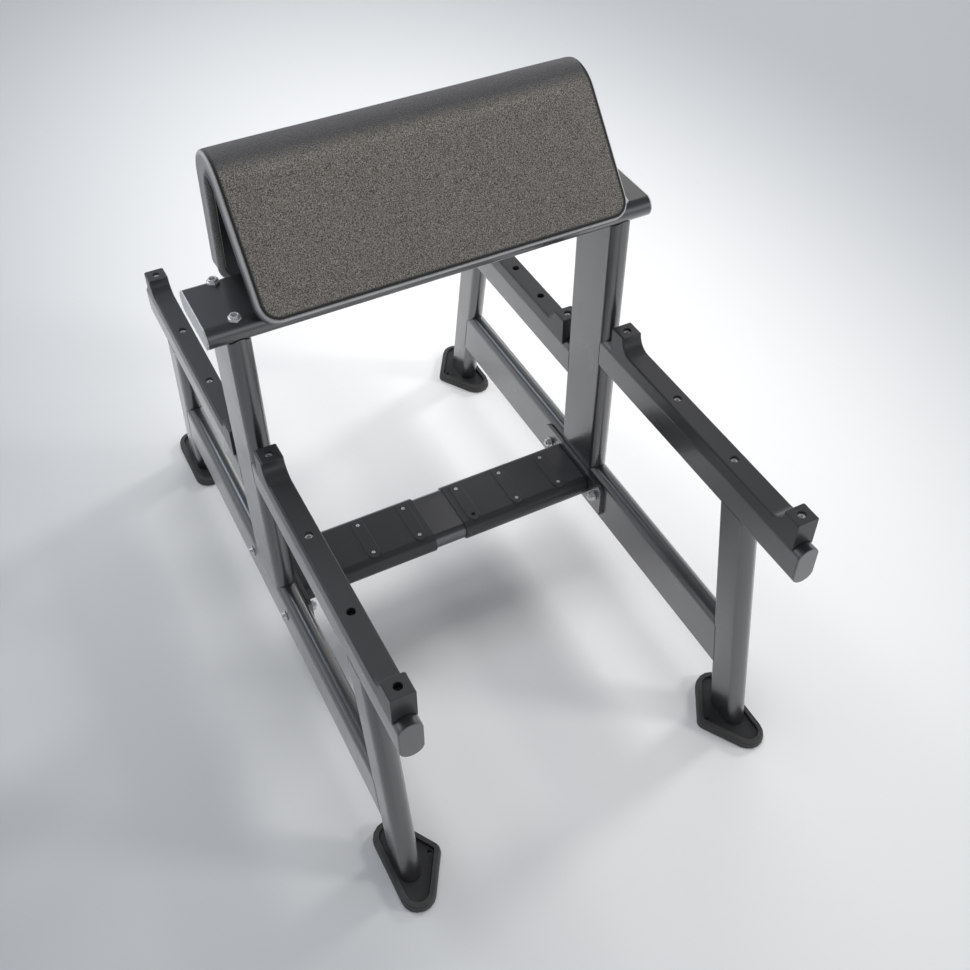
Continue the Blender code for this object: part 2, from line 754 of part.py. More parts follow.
def flange_outline():
    """The flange's outline: square below, with two round upper corners, as (along Y, height) points."""
    low = BRACE_HEIGHT - FLANGE_HEIGHT / 2
    centre_height = BRACE_HEIGHT + FLANGE_HEIGHT / 2 - FLANGE_CORNER
    reach = FLANGE_LENGTH / 2
    points = [(-reach, low), (reach, low)]
    for centre, start in ((reach - FLANGE_CORNER, 0.0), (FLANGE_CORNER - reach, math.pi / 2)):
        for step in range(FLANGE_CORNER_STEPS + 1):
            angle = start + math.pi / 2 * step / FLANGE_CORNER_STEPS
            y = centre + FLANGE_CORNER * math.cos(angle)
            points.append((y, centre_height + FLANGE_CORNER * math.sin(angle)))
    return points


def make_flange(name, side):
    """A flat plate at the end of the brace, bolted through the lower rail."""
    faces = (side * FLANGE_FACE, side * (FLANGE_FACE + FLANGE_THICKNESS))
    loops = [[Vector((x, y, z)) for y, z in flange_outline()] for x in faces]
    flange = make_object(f"{name}_flange", loft(loops), FRAME_PAINT)
    holes = bmesh.new()
    for y in (-FLANGE_BOLT_SPREAD / 2, FLANGE_BOLT_SPREAD / 2):
        start = (side * (FLANGE_FACE - FLANGE_THICKNESS), y, BRACE_HEIGHT)
        add_rod(holes, start, (side, 0, 0), 3 * FLANGE_THICKNESS, FLANGE_BOLT_RADIUS + BOLT_FIT)
    boolean(flange, make_cutter(f"{name}_flange_holes", holes))


def brace_cover_section():
    """The cover's section: over the flat top and down both arched sides, as (along Y, height) points."""
    centre = BRACE_DEPTH / 2 - ARCH_RADIUS
    spread = math.asin(TUBE_WIDTH / 2 / ARCH_RADIUS)

    def path(offset):
        reach = ARCH_RADIUS + offset
        points = []
        for sign in (1, -1):
            for step in range(ARCH_STEPS + 1):
                angle = -sign * spread * (1 - 2 * step / ARCH_STEPS)
                points.append((sign * (centre + reach * math.cos(angle)), reach * math.sin(angle)))
        return points

    return path(GAP + BRACE_COVER_THICKNESS) + path(GAP)[::-1]


def bar_outline(x):
    """A raised bar seen from above: square at the rear, round at the front."""
    half = BAR_WIDTH / 2
    centre = -BAR_FRONT + half
    points = [(x - half, BAR_REAR), (x - half, centre)]
    for step in range(1, ARCH_STEPS):
        angle = math.pi + math.pi * step / ARCH_STEPS
        points.append((x + half * math.cos(angle), centre + half * math.sin(angle)))
    return points + [(x + half, centre), (x + half, BAR_REAR)]


def make_brace_cover(name, side, end, tube_holes):
    """One of the two black covers on the brace, with its three raised bars and their screw holes."""
    section = brace_cover_section()
    faces = (side * BRACE_COVER_START, side * (end - GAP))
    builder = loft([[Vector((x, y, BRACE_HEIGHT + z)) for y, z in section] for x in faces])
    cover = make_object(f"{name}_brace_cover", builder, BLACK_PLASTIC)

    brace_top = BRACE_HEIGHT + TUBE_WIDTH / 2
    root = brace_top + BRACE_COVER_THICKNESS / 2
    mouth = brace_top + BRACE_COVER_THICKNESS + BAR_HEIGHT
    seat = mouth - BAR_HOLE_DEPTH
    low = brace_top - 2 * TUBE_WALL
    bars = bmesh.new()
    wide = bmesh.new()
    narrow = bmesh.new()
    for place in BAR_PLACES:
        x = side * place
        outline = bar_outline(x)
        add_loft(bars, [[Vector((a, b, z)) for a, b in outline] for z in (root, mouth)])
        for y in (-BAR_SCREW_FRONT, BAR_SCREW_REAR):
            add_rod(wide, (x, y, seat), (0, 0, 1), 2 * BAR_HOLE_DEPTH, BAR_HOLE)
            add_rod(narrow, (x, y, low), (0, 0, 1), mouth - low, BAR_SCREW_HOLE, SCREW_STEPS)
            add_rod(tube_holes, (x, y, low), (0, 0, 1), mouth - low, BAR_SCREW_HOLE, SCREW_STEPS)
    boolean(cover, make_cutter(f"{name}_brace_cover_bars", bars), "UNION")
    boolean(cover, make_cutter(f"{name}_brace_cover_wide_holes", wide))
    boolean(cover, make_cutter(f"{name}_brace_cover_narrow_holes", narrow))


# Arm pad

def pad_walk():
    """Stations along the pad's outer line, from its lower front edge over the ridge to its lower rear edge.

    Each is (distance from the front edge, Y, Z, outward normal)."""
    front_turn = PAD_FRONT_SLOPE + math.pi / 2
    rear_turn = PAD_REAR_LEAN
    ridge = Vector((PAD_RIDGE_PLACE, PAD_RIDGE_HEIGHT))

    def normal(turn):
        return Vector((math.cos(turn), math.sin(turn)))

    front_normal = normal(front_turn)
    rear_normal = normal(rear_turn)
    front_end = ridge + front_normal * PAD_RIDGE_RADIUS
    uphill = Vector((front_normal.y, -front_normal.x))
    rear_start = ridge + rear_normal * PAD_RIDGE_RADIUS
    downhill = Vector((rear_normal.y, -rear_normal.x))
    bend = PAD_RIDGE_RADIUS * (front_turn - rear_turn)

    def station(distance):
        if distance <= PAD_FRONT_LENGTH:
            return front_end - uphill * (PAD_FRONT_LENGTH - distance), front_normal
        if distance <= PAD_FRONT_LENGTH + bend:
            out = normal(front_turn - (distance - PAD_FRONT_LENGTH) / PAD_RIDGE_RADIUS)
            return ridge + out * PAD_RIDGE_RADIUS, out
        return rear_start + downhill * (distance - PAD_FRONT_LENGTH - bend), rear_normal

    rear_distance = PAD_FRONT_LENGTH + bend
    return station, PAD_FRONT_LENGTH, rear_distance, rear_distance + PAD_REAR_LENGTH


def pad_distances(start, end, edge_steps, front_steps, ridge_steps, rear_steps, edge):
    """Where the pad's rows of points lie along its outer line, closer together at both ends."""
    _, front_end, rear_start, _ = pad_walk()
    rows = [start + edge * (1 - math.cos(math.pi / 2 * i / edge_steps)) for i in range(edge_steps)]
    low = start + edge
    high = end - edge
    rows += [low + (front_end - low) * i / front_steps for i in range(front_steps)]
    rows += [front_end + (rear_start - front_end) * i / ridge_steps for i in range(ridge_steps)]
    rows += [rear_start + (high - rear_start) * i / rear_steps for i in range(rear_steps)]
    rows += [high + edge * math.sin(math.pi / 2 * i / edge_steps) for i in range(edge_steps + 1)]
    return rows


def slab_half_width(distance, length, half, corner):
    """Half the pad's width at a distance along it: full, but for the round corners at both ends."""
    near = min(distance, length - distance)
    if near >= corner:
        return half
    return half - corner + math.sqrt(corner**2 - (corner - near) ** 2)


def cushion_crown(distance, x, half):
    """How far the cushion swells beyond its plain outer line."""
    _, front_end, rear_start, length = pad_walk()
    across = 1 - (x / half) ** 4
    if distance < front_end:
        return PAD_FRONT_CROWN * across * math.sin(math.pi * distance / (2 * front_end)) ** 0.5
    if distance < rear_start:
        share = (distance - front_end) / (rear_start - front_end)
        return PAD_FRONT_CROWN * ((1 - share) ** 2 + PAD_RIDGE_CROWN * share) * across
    share = (distance - rear_start) / (length - rear_start)
    swell = 4 * share * (1 - share)
    return (PAD_RIDGE_CROWN * PAD_FRONT_CROWN * (1 - share) + PAD_REAR_CROWN * swell) * across


def cushion_loops():
    """Closed loops across the pad, one for each row: outer face, right side, inner face, left side."""
    station, _, _, length = pad_walk()
    half = PAD_LENGTH / 2
    loops = []
    for distance in pad_distances(0.0, length, 5, 6, 9, 6, PAD_CORNER):
        centre, out = station(distance)
        near = min(distance, length - distance)
        ease = PAD_EDGE - math.sqrt(max(0.0, PAD_EDGE**2 - (PAD_EDGE - min(near, PAD_EDGE)) ** 2))
        width = slab_half_width(distance, length, half, PAD_CORNER)
        draw = PAD_SIDE_DRAW * math.sin(math.pi * distance / length)
        slack = PAD_SIDE_EASE * draw
        ring = []
        for step in range(PAD_SPANS + 1):
            share = math.sin(math.pi / 2 * (2 * step / PAD_SPANS - 1))
            x = share * (width - PAD_EDGE)
            ring.append((x, cushion_crown(distance, x, half) - ease))
        for angle in PAD_EDGE_TURNS:
            side = width - PAD_EDGE + PAD_EDGE * math.cos(angle)
            ring.append((side, -PAD_EDGE - ease + PAD_EDGE * math.sin(angle)))
        middle = -PAD_THICKNESS / 2
        ring.append((width - slack, -PAD_EDGE - ease))
        ring.append((width - draw, middle))
        low = ease - PAD_THICKNESS
        ring.append((width - slack, low + PAD_EDGE / 3))
        ring.append((width - PAD_EDGE / 3, low))
        ring.append((0.0, low))
        ring.append((PAD_EDGE / 3 - width, low))
        ring.append((slack - width, low + PAD_EDGE / 3))
        ring.append((draw - width, middle))
        ring.append((slack - width, -PAD_EDGE - ease))
        for angle in reversed(PAD_EDGE_TURNS):
            side = width - PAD_EDGE + PAD_EDGE * math.cos(angle)
            ring.append((-side, -PAD_EDGE - ease + PAD_EDGE * math.sin(angle)))
        loops.append([Vector((x, centre.x + out.x * lift, centre.y + out.y * lift)) for x, lift in ring])
    return loops


def board_loops(grow):
    """The bent board inside the pad, or the pocket it sits in when it is grown by a gap."""
    station, _, _, length = pad_walk()
    half = PAD_LENGTH / 2 - BOARD_MARGIN + grow
    start = BOARD_MARGIN - grow
    end = length - BOARD_MARGIN + grow
    top = -PAD_THICKNESS - BOARD_PROUD + BOARD_THICKNESS + grow
    bottom = -PAD_THICKNESS - BOARD_PROUD - grow
    corner = PAD_CORNER - BOARD_MARGIN
    loops = []
    for distance in pad_distances(start, end, 4, 1, 9, 1, corner):
        centre, out = station(distance)
        width = slab_half_width(distance - start, end - start, half, corner)
        ring = ((-width, top), (width, top), (width, bottom), (-width, bottom))
        loops.append([Vector((x, centre.x + out.x * lift, centre.y + out.y * lift)) for x, lift in ring])
    return loops


def make_arm_pad():
    """The padded arm rest: vinyl cushion, bent board, and two brackets that stand on the top beam."""
    cushion = make_object("arm_pad", loft(cushion_loops()), PAD_VINYL)
    make_object("pad_board", loft(board_loops(0.0)), BOARD_PAINT)
    boolean(cushion, make_cutter("board_pocket", loft(board_loops(GAP))))
    for name, side in SIDES:
        make_pad_bracket(name, side * BRACKET_SPREAD / 2)


def pad_point(distance, depth):
    """The (Y, Z) point at a distance along the pad and a depth below its plain outer line."""
    station, _, _, _ = pad_walk()
    centre, out = station(distance)
    point = centre - out * depth
    return point.x, point.y


def make_pad_bracket(name, x):
    """A folded steel bracket in the hollow of the pad, with its two bolts into the top beam."""
    _, _, _, length = pad_walk()
    thick = BRACKET_THICKNESS
    board_face = PAD_THICKNESS + BOARD_PROUD + GAP
    base_low = BEAM_TOP + GAP
    base_high = base_low + thick
    half_base = BRACKET_BASE / 2
    front = BRACKET_FRONT
    rear = (length - BRACKET_REAR[1], length - BRACKET_REAR[0])

    def flange(span):
        outer = [pad_point(distance, board_face) for distance in span]
        inner = [pad_point(distance, board_face + thick) for distance in reversed(span)]
        return outer + inner

    def slab(outline, width):
        return loft([[Vector((x + offset, y, z)) for y, z in outline] for offset in (-width / 2, width / 2)])

    sink = thick / 2
    web = [(half_base - sink, base_low + sink), (sink - half_base, base_low + sink)]
    web += [pad_point(distance, board_face + sink) for distance in front + rear]
    base = ((-half_base, base_low), (half_base, base_low), (half_base, base_high), (-half_base, base_high))
    bracket = make_object(f"{name}_pad_bracket", slab(web, thick), BLACK_PAINT)
    for part_name, outline in (("base", base), ("front", flange(front)), ("rear", flange(rear))):
        tool = make_cutter(f"{name}_bracket_{part_name}", slab(outline, BRACKET_WIDTH))
        boolean(bracket, tool, "UNION")

    holes = bmesh.new()
    seat = base_high + GAP
    grip = seat - BEAM_TOP + TUBE_WALL + BRACKET_BOLT_TAIL
    for end_name, sign in ENDS:
        place = (x + BRACKET_BOLT_OFFSET, sign * BRACKET_BOLT_SPREAD / 2, seat)
        start = Vector(place) - Vector((0, 0, 2 * thick))
        add_rod(holes, start, (0, 0, 1), 3 * thick, BRACKET_BOLT_RADIUS + BOLT_FIT)
        bracket_bolt = bolt(
            place,
            (0, 0, -1),
            BRACKET_BOLT_RADIUS,
            grip,
            BRACKET_BOLT_HEAD,
            BRACKET_BOLT_HEAD_HEIGHT,
            BRACKET_BOLT_HEAD + WASHER_THICKNESS / 2,
        )
        make_object(f"{name}_{end_name}_bracket_bolt", bracket_bolt, ZINC)
    boolean(bracket, make_cutter(f"{name}_bracket_holes", holes))


def main():
    clear_scene()
    for name, side in SIDES:
        frame = make_empty(f"{name}_side_frame", (side * SIDE_X, 0, 0))
        make_side_frame(side, frame)
    make_top_beam()
    make_cross_brace()
    make_arm_pad()
    bpy.context.view_layer.update()


main()
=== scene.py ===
"""The looks of the preacher bench: its finishes, its sewn arm pad, its bolts, nuts and screws.

Metres, +Z up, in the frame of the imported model. +X runs along the arm pad and the user sits at -Y.
Every piece's place is in its mesh, and its object stays at the origin.
"""

import json
import math

import bmesh
import bpy
from bpy.props import FloatProperty, FloatVectorProperty, IntProperty, PointerProperty
from mathutils import Matrix, Vector


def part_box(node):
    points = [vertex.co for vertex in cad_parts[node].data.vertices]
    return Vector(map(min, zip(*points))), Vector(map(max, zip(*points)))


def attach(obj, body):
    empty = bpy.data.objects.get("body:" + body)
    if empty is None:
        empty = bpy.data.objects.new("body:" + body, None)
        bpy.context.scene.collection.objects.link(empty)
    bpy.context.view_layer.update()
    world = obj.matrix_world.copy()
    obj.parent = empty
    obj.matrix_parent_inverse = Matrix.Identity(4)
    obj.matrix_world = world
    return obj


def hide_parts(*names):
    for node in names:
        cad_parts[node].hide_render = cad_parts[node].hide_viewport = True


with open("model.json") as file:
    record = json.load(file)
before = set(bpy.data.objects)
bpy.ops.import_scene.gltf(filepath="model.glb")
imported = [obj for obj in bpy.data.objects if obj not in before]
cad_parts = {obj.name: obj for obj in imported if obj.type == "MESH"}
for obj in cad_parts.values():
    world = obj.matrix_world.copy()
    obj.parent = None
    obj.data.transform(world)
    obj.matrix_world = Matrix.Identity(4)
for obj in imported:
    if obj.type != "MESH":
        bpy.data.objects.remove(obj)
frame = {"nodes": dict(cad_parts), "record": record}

bl_info = {
    "name": "Preacher Bench",
    "version": (1, 0, 0),
    "blender": (4, 5, 0),
    "location": "View3D > Sidebar > Bench",
    "description": "Finishes and detailed pieces of a preacher bench",
    "category": "Object",
}

SIDES = (("left", -1), ("right", 1))
ENDS = (("front", -1), ("rear", 1))
CORNERS = [(*side, *end) for side in SIDES for end in ENDS]
UP = Vector((0, 0, 1))
BODY = "root"
NODE_SLOTS = {entry["node"]: entry["material_slot"] for entry in frame["record"]["subparts"]}
FRAME_PLACE = 0.350  # from the middle of the bench to the middle of a side frame
TUBE_WIDTH = 0.040


# Settings that a user would change

def colour_setting(name, description, default):
    return FloatVectorProperty(
        name=name, description=description, subtype="COLOR", size=3, min=0, max=1, default=default
    )


def length_setting(name, description, default):
    return FloatProperty(name=name, description=description, unit="LENGTH", default=default)


def angle_setting(name, description, degrees):
    return FloatProperty(
        name=name, description=description, unit="ROTATION", default=math.radians(degrees)
    )


class BenchFinishes(bpy.types.PropertyGroup):
    """Colours of the bench."""

    frame_paint: colour_setting("Frame", "Metallic powder coat of the frame", (0.165, 0.165, 0.167))
    cap_paint: colour_setting("Beam caps", "Plugs in the ends of the top beam", (0.70, 0.70, 0.70))
    black_paint: colour_setting("Black paint", "Foot plates, pad brackets", (0.030, 0.031, 0.032))
    black_plastic: colour_setting("Covers", "Rack and brace covers", (0.036, 0.037, 0.039))
    rubber: colour_setting("Feet", "Moulded rubber of the feet", (0.050, 0.050, 0.048))
    zinc: colour_setting("Fasteners", "Zinc plating of bolts, nuts and screws", (0.70, 0.70, 0.71))
    pad_panel: colour_setting("Pad", "Pebbled vinyl of the arm pad", (0.144, 0.133, 0.117))
    # Painted shade: the darker, bluer colour that the pad takes along its ridge
    pad_ridge_shade: colour_setting("Pad ridge", "Smoother vinyl along the ridge", (0.038, 0.039, 0.043))
    pad_band: colour_setting("Pad band", "Smooth vinyl round the pad's edge", (0.40, 0.40, 0.395))
    # Painted shade: the dark colour of the vinyl beside the seam
    pad_seam_shade: colour_setting("Pad seam", "Shaded vinyl beside the seam", (0.014, 0.014, 0.014))
    pad_inside: colour_setting("Pad inside", "Lining of the inner face", (0.012, 0.012, 0.013))
    board_face: colour_setting("Board", "Painted face of the pad's board", (0.018, 0.018, 0.018))
    # Its light tone is partly the unpainted wood, partly a painted highlight
    board_edge: colour_setting("Board edge", "Bare edge of the board", (0.62, 0.58, 0.52))
    # The floor's two colours make a painted pool of light: palest near the middle, painted shade
    # further out
    floor: colour_setting("Floor", "Studio floor round the bench", (0.96, 0.96, 0.955))
    floor_far_shade: colour_setting("Far floor", "Studio floor further out", (0.42, 0.435, 0.455))


class EdgeSizes(bpy.types.PropertyGroup):
    """Widths of rounded edges."""

    tubes: length_setting("Tubes", "Edges of the tubes' ends", 0.0014)
    caps: length_setting("Caps", "Edges of the end caps", 0.0008)
    plates: length_setting("Plates", "Edges of the steel plates", 0.0006)
    covers: length_setting("Covers", "Edges of the rack covers", 0.0010)
    bars: length_setting("Brace covers", "Edges of the brace covers and their bars", 0.0009)
    beam_gap: length_setting("Beam gap", "Added between an upright and the top beam", 0.0012)
    feet: length_setting("Feet", "Edges of the rubber feet", 0.0008)
    # The beads where tubes meet are dark strips that paint the shade in the joints
    seam_and_shadow_line_width: length_setting("Seam width", "Of the beads where tubes meet", 0.0016)
    shadow_line_height: length_setting("Seam height", "How far those beads stand out", 0.0004)


class PadSizes(bpy.types.PropertyGroup):
    """Sizes of the arm pad, as in the model."""

    length: length_setting("Length", "Along the pad", 0.648)
    thickness: length_setting("Thickness", "Of the cushion", 0.040)
    top: length_setting("Top", "Height of the ridge above the floor", 1.0800)
    ridge_radius: length_setting("Ridge radius", "Outside of the bend", 0.0685)
    ridge_place: length_setting("Ridge place", "Y of the middle of the bend", 0.0702)
    front_slope: angle_setting("Front slope", "Slope of the front", 49.2)
    rear_lean: angle_setting("Rear lean", "Lean of the rear", 5.5)
    front_length: length_setting("Front length", "Flat part of the front", 0.2163)
    rear_length: length_setting("Rear length", "Flat part of the rear", 0.204)
    corner: length_setting("Corner", "Radius of the four corners", 0.032)
    edge: length_setting("Edge", "Radius of the outer edge, up to its seam", 0.006)
    inner_edge: length_setting("Inner edge", "Radius of the inner edge", 0.003)
    front_crown: length_setting("Front crown", "Swell of the front", 0.0025)
    rear_crown: length_setting("Rear crown", "Swell of the rear", 0.0050)
    side_draw: length_setting("Side draw", "How far the sides pull in", 0.0012)
    seam_depth: length_setting("Seam depth", "Depth of the seam", 0.0007)
    seam_and_shadow_line_width: length_setting("Seam width", "Half width of the seam", 0.0009)
    pocket_margin: length_setting("Pocket margin", "From the edge to the board", 0.0125)
    pocket_depth: length_setting("Pocket depth", "Of the board's pocket", 0.0105)
    step: length_setting("Mesh step", "Distance between rows of points", 0.008)
    swell: length_setting("Swell", "Furthest that the simulation moves a point", 0.0012)


class FastenerSizes(bpy.types.PropertyGroup):
    """Sizes of bolts, nuts and screws."""

    sides: IntProperty(name="Sides", description="Sides of a round head", default=48)
    washer_radius: length_setting("Washer radius", "Of the plain washers", 0.0105)
    washer_thickness: length_setting("Washer thickness", "Of the plain washers", 0.002)
    head_radius: length_setting("Head radius", "Of an M10 socket head", 0.0082)
    head_height: length_setting("Head height", "Of an M10 socket head", 0.0062)
    shank_radius: length_setting("Shank radius", "Of an M10 bolt", 0.005)
    socket_radius: length_setting("Socket radius", "Corner radius of the hexagon socket", 0.0041)
    socket_depth: length_setting("Socket depth", "Of the hexagon socket", 0.0056)
    small_head_radius: length_setting("Small head radius", "Of an M8 socket head", 0.0065)
    small_head_height: length_setting("Small head height", "Of an M8 socket head", 0.005)
    small_shank_radius: length_setting("Small shank radius", "Of an M8 bolt", 0.004)
    small_washer_radius: length_setting("Small washer radius", "Of an M8 bolt", 0.0075)
    beam_nut_radius: length_setting("Beam nut radius", "Corner radius of a nut on the beam", 0.0112)
    beam_nut_height: length_setting("Beam nut height", "Height of its hexagon", 0.0042)
    nut_radius: length_setting("Nut radius", "Corner radius of a flange nut", 0.0095)
    nut_height: length_setting("Nut height", "Of a flange nut", 0.008)
    screw_head: length_setting("Rack screw head", "Radius of a rack screw's head", 0.0069)
    screw_height: length_setting("Rack screw height", "Height of that head", 0.0085)
    screw_shank: length_setting("Rack screw shank", "Radius of that screw", 0.0029)
    screw_length: length_setting("Rack screw length", "Of its shank", 0.010)
    small_screw_head: length_setting("Brace screw head", "Radius of a brace screw's head", 0.0038)
    small_screw_height: length_setting("Brace screw height", "Height of that head", 0.0024)
    small_screw_shank: length_setting("Brace screw shank", "Radius of that screw", 0.0019)
    small_screw_length: length_setting("Brace screw length", "Of its shank", 0.008)
    bevel: length_setting("Edge", "Eased edges of the fasteners", 0.0004)


# Working on objects

def clear_selection():
    if bpy.context.mode != "OBJECT":
        bpy.ops.object.mode_set(mode="OBJECT")
    bpy.ops.object.select_all(action="DESELECT")


def choose(obj):
    """Make obj the only selected object, and the active one."""
    clear_selection()
    obj.select_set(True)
    bpy.context.view_layer.objects.active = obj


def apply_modifiers(obj):
    choose(obj)
    for modifier in list(obj.modifiers):
        bpy.ops.object.modifier_apply(modifier=modifier.name)


def round_edges(obj, width, segments, angle, clamp=True):
    """Round the edges at which the faces turn by more than that angle, in degrees."""
    edges = obj.modifiers.new("edges", "BEVEL")
    edges.width = width
    edges.segments = segments
    edges.limit_method = "ANGLE"
    edges.angle_limit = math.radians(angle)
    edges.use_clamp_overlap = clamp
    apply_modifiers(obj)


def settle(obj):
    """Put the object's place into its mesh."""
    choose(obj)
    bpy.ops.object.transform_apply(location=True, rotation=True, scale=True)


def new_object(name, data):
    """An object in the scene for a mesh, a light or a camera."""
    obj = bpy.data.objects.new(name, data)
    data.name = name
    bpy.context.scene.collection.objects.link(obj)
    return obj


def place_copy(master, name, matrix):
    """A copy of a modelled piece with a mesh of its own, moved into its place."""
    copy = new_object(name, master.data.copy())
    copy.matrix_world = matrix
    settle(copy)
    return copy


def remove(obj):
    mesh = obj.data
    bpy.data.objects.remove(obj, do_unlink=True)
    bpy.data.meshes.remove(mesh)


def paint(obj, slot):
    """Give an object the finish of that slot."""
    obj.data.materials.clear()
    obj.data.materials.append(bpy.data.materials[f"{slot}_finish"])


def finish_piece(obj, slot, node=None):
    """Give a piece the finish of that slot, fasten it to the bench, and hide the node that it
    replaces.
    """
    paint(obj, slot)
    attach(obj, BODY)
    if node:
        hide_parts(node)


# Materials

def shade(colour, share):
    """A colour made darker or lighter by a share."""
    return tuple(min(1.0, channel * share) for channel in colour)


def fill_in(node, values):
    """Set the inputs of a node by their names."""
    for name, value in values.items():
        node.inputs[name].default_value = value


class Recipe:
    """A Principled material under construction."""

    def __init__(self, name, colour, roughness, metallic=0.0):
        self.material = bpy.data.materials.new(f"{name}_finish")
        self.material.use_nodes = True
        self.tree = self.material.node_tree
        self.shader = self.tree.nodes["Principled BSDF"]
        self.colour = tuple(colour)
        looks = {"Base Color": (*colour, 1), "Roughness": roughness, "Metallic": metallic}
        fill_in(self.shader, looks)
        self.bump = None
        self.point = self.add("ShaderNodeTexCoord").outputs["Object"]

    def add(self, kind, **settings):
        node = self.tree.nodes.new(kind)
        for key, value in settings.items():
            setattr(node, key, value)
        return node

    def join(self, output, target):
        self.tree.links.new(output, target)

    def noise(self, scale, detail, roughness, stretch=None):
        """Soft noise from 0 to 1 in the object's own space."""
        node = self.add("ShaderNodeTexNoise")
        fill_in(node, {"Scale": scale, "Detail": detail, "Roughness": roughness})
        vector = self.point
        if stretch:
            mapping = self.add("ShaderNodeMapping")
            fill_in(mapping, {"Scale": stretch})
            self.join(self.point, mapping.inputs["Vector"])
            vector = mapping.outputs["Vector"]
        self.join(vector, node.inputs["Vector"])
        return node.outputs["Fac"]

    def cells(self, scale, smoothness):
        """Distance to the middle of soft cells, for pebbled surfaces."""
        node = self.add("ShaderNodeTexVoronoi", feature="SMOOTH_F1")
        fill_in(node, {"Scale": scale, "Smoothness": smoothness})
        self.join(self.point, node.inputs["Vector"])
        return node.outputs["Distance"]

    def span(self, value, low, high, start=0.0, end=1.0, soft=False):
        """Turn a value that runs from start to end into one that runs from low to high."""
        node = self.add("ShaderNodeMapRange")
        fill_in(node, {"From Min": start, "From Max": end, "To Min": low, "To Max": high})
        node.interpolation_type = "SMOOTHSTEP" if soft else "LINEAR"
        self.join(value, node.inputs["Value"])
        return node.outputs["Result"]

    def blend(self, factor, first, second):
        """Mix two colours, each a tuple or a socket."""
        node = self.add("ShaderNodeMix", data_type="RGBA")
        self.join(factor, node.inputs["Factor"])
        for value, key in ((first, "A"), (second, "B")):
            socket = [s for s in node.inputs if s.name == key and s.type == "RGBA"][0]
            if isinstance(value, tuple):
                socket.default_value = (*value, 1)
            else:
                self.join(value, socket)
        return [s for s in node.outputs if s.type == "RGBA"][0]

    def calculate(self, operation, first, second=0.0):
        node = self.add("ShaderNodeMath", operation=operation)
        for socket, value in zip(node.inputs, (first, second)):
            if isinstance(value, (int, float)):
                socket.default_value = value
            else:
                self.join(value, socket)
        return node.outputs[0]

    def tint(self, amount, factor):
        """Vary the base colour by a share, up and down."""
        dark, light = shade(self.colour, 1 - amount), shade(self.colour, 1 + amount)
        self.join(self.blend(factor, dark, light), self.shader.inputs["Base Color"])

    def rough(self, low, high, factor, start=0.3, end=0.7):
        self.join(self.span(factor, low, high, start, end), self.shader.inputs["Roughness"])

    def relief(self, height, depth):
        """Add a relief of that depth, in metres, on top of those before it."""
        node = self.add("ShaderNodeBump")
        fill_in(node, {"Distance": depth, "Strength": 1.0})
        self.join(height, node.inputs["Height"])
        if self.bump:
            self.join(self.bump, node.inputs["Normal"])
        self.bump = node.outputs["Normal"]
        self.join(self.bump, self.shader.inputs["Normal"])

    def attribute(self, name):
        return self.add("ShaderNodeAttribute", attribute_name=name).outputs["Fac"]


def powder_coat(name, colour, roughness, metallic, coat):
    """Powder coat: a slight orange peel, fine flakes and a soft clear layer."""
    recipe = Recipe(name, colour, roughness, metallic)
    flakes = recipe.noise(2600, 1.0, 0.5)
    clouds = recipe.noise(9, 3.0, 0.6)
    recipe.tint(0.05, recipe.span(flakes, 0, 1, 0.3, 0.7))
    recipe.rough(roughness - 0.04, roughness + 0.05, clouds)
    recipe.relief(recipe.noise(420, 2.0, 0.4), 0.00005)
    fill_in(recipe.shader, {"Coat Weight": coat, "Coat Roughness": 0.14})


def moulded_plastic(name, colour, roughness, grain):
    """Hard plastic with a fine moulded texture."""
    recipe = Recipe(name, colour, roughness)
    texture = recipe.noise(1500, 2.0, 0.6)
    recipe.tint(0.06, texture)
    recipe.rough(roughness - 0.01, roughness + 0.02, recipe.noise(9, 1.0, 0.4), 0.2, 0.8)
    recipe.relief(texture, grain)


def moulded_rubber(name, colour):
    """Matte rubber with a little dust in its texture."""
    recipe = Recipe(name, colour, 0.62)
    dust = recipe.noise(35, 6.0, 0.7)
    recipe.tint(0.25, recipe.span(dust, 0, 1, 0.35, 0.75))
    recipe.rough(0.52, 0.72, dust)
    recipe.relief(recipe.noise(900, 3.0, 0.6), 0.00005)


def plated_steel(name, colour):
    """Bright zinc with faint turning marks."""
    recipe = Recipe(name, colour, 0.24, 0.55)
    marks = recipe.noise(900, 2.0, 0.5, stretch=(1.0, 1.0, 6.0))
    recipe.tint(0.10, recipe.noise(120, 3.0, 0.6))
    recipe.rough(0.18, 0.34, marks)
    recipe.relief(marks, 0.000008)


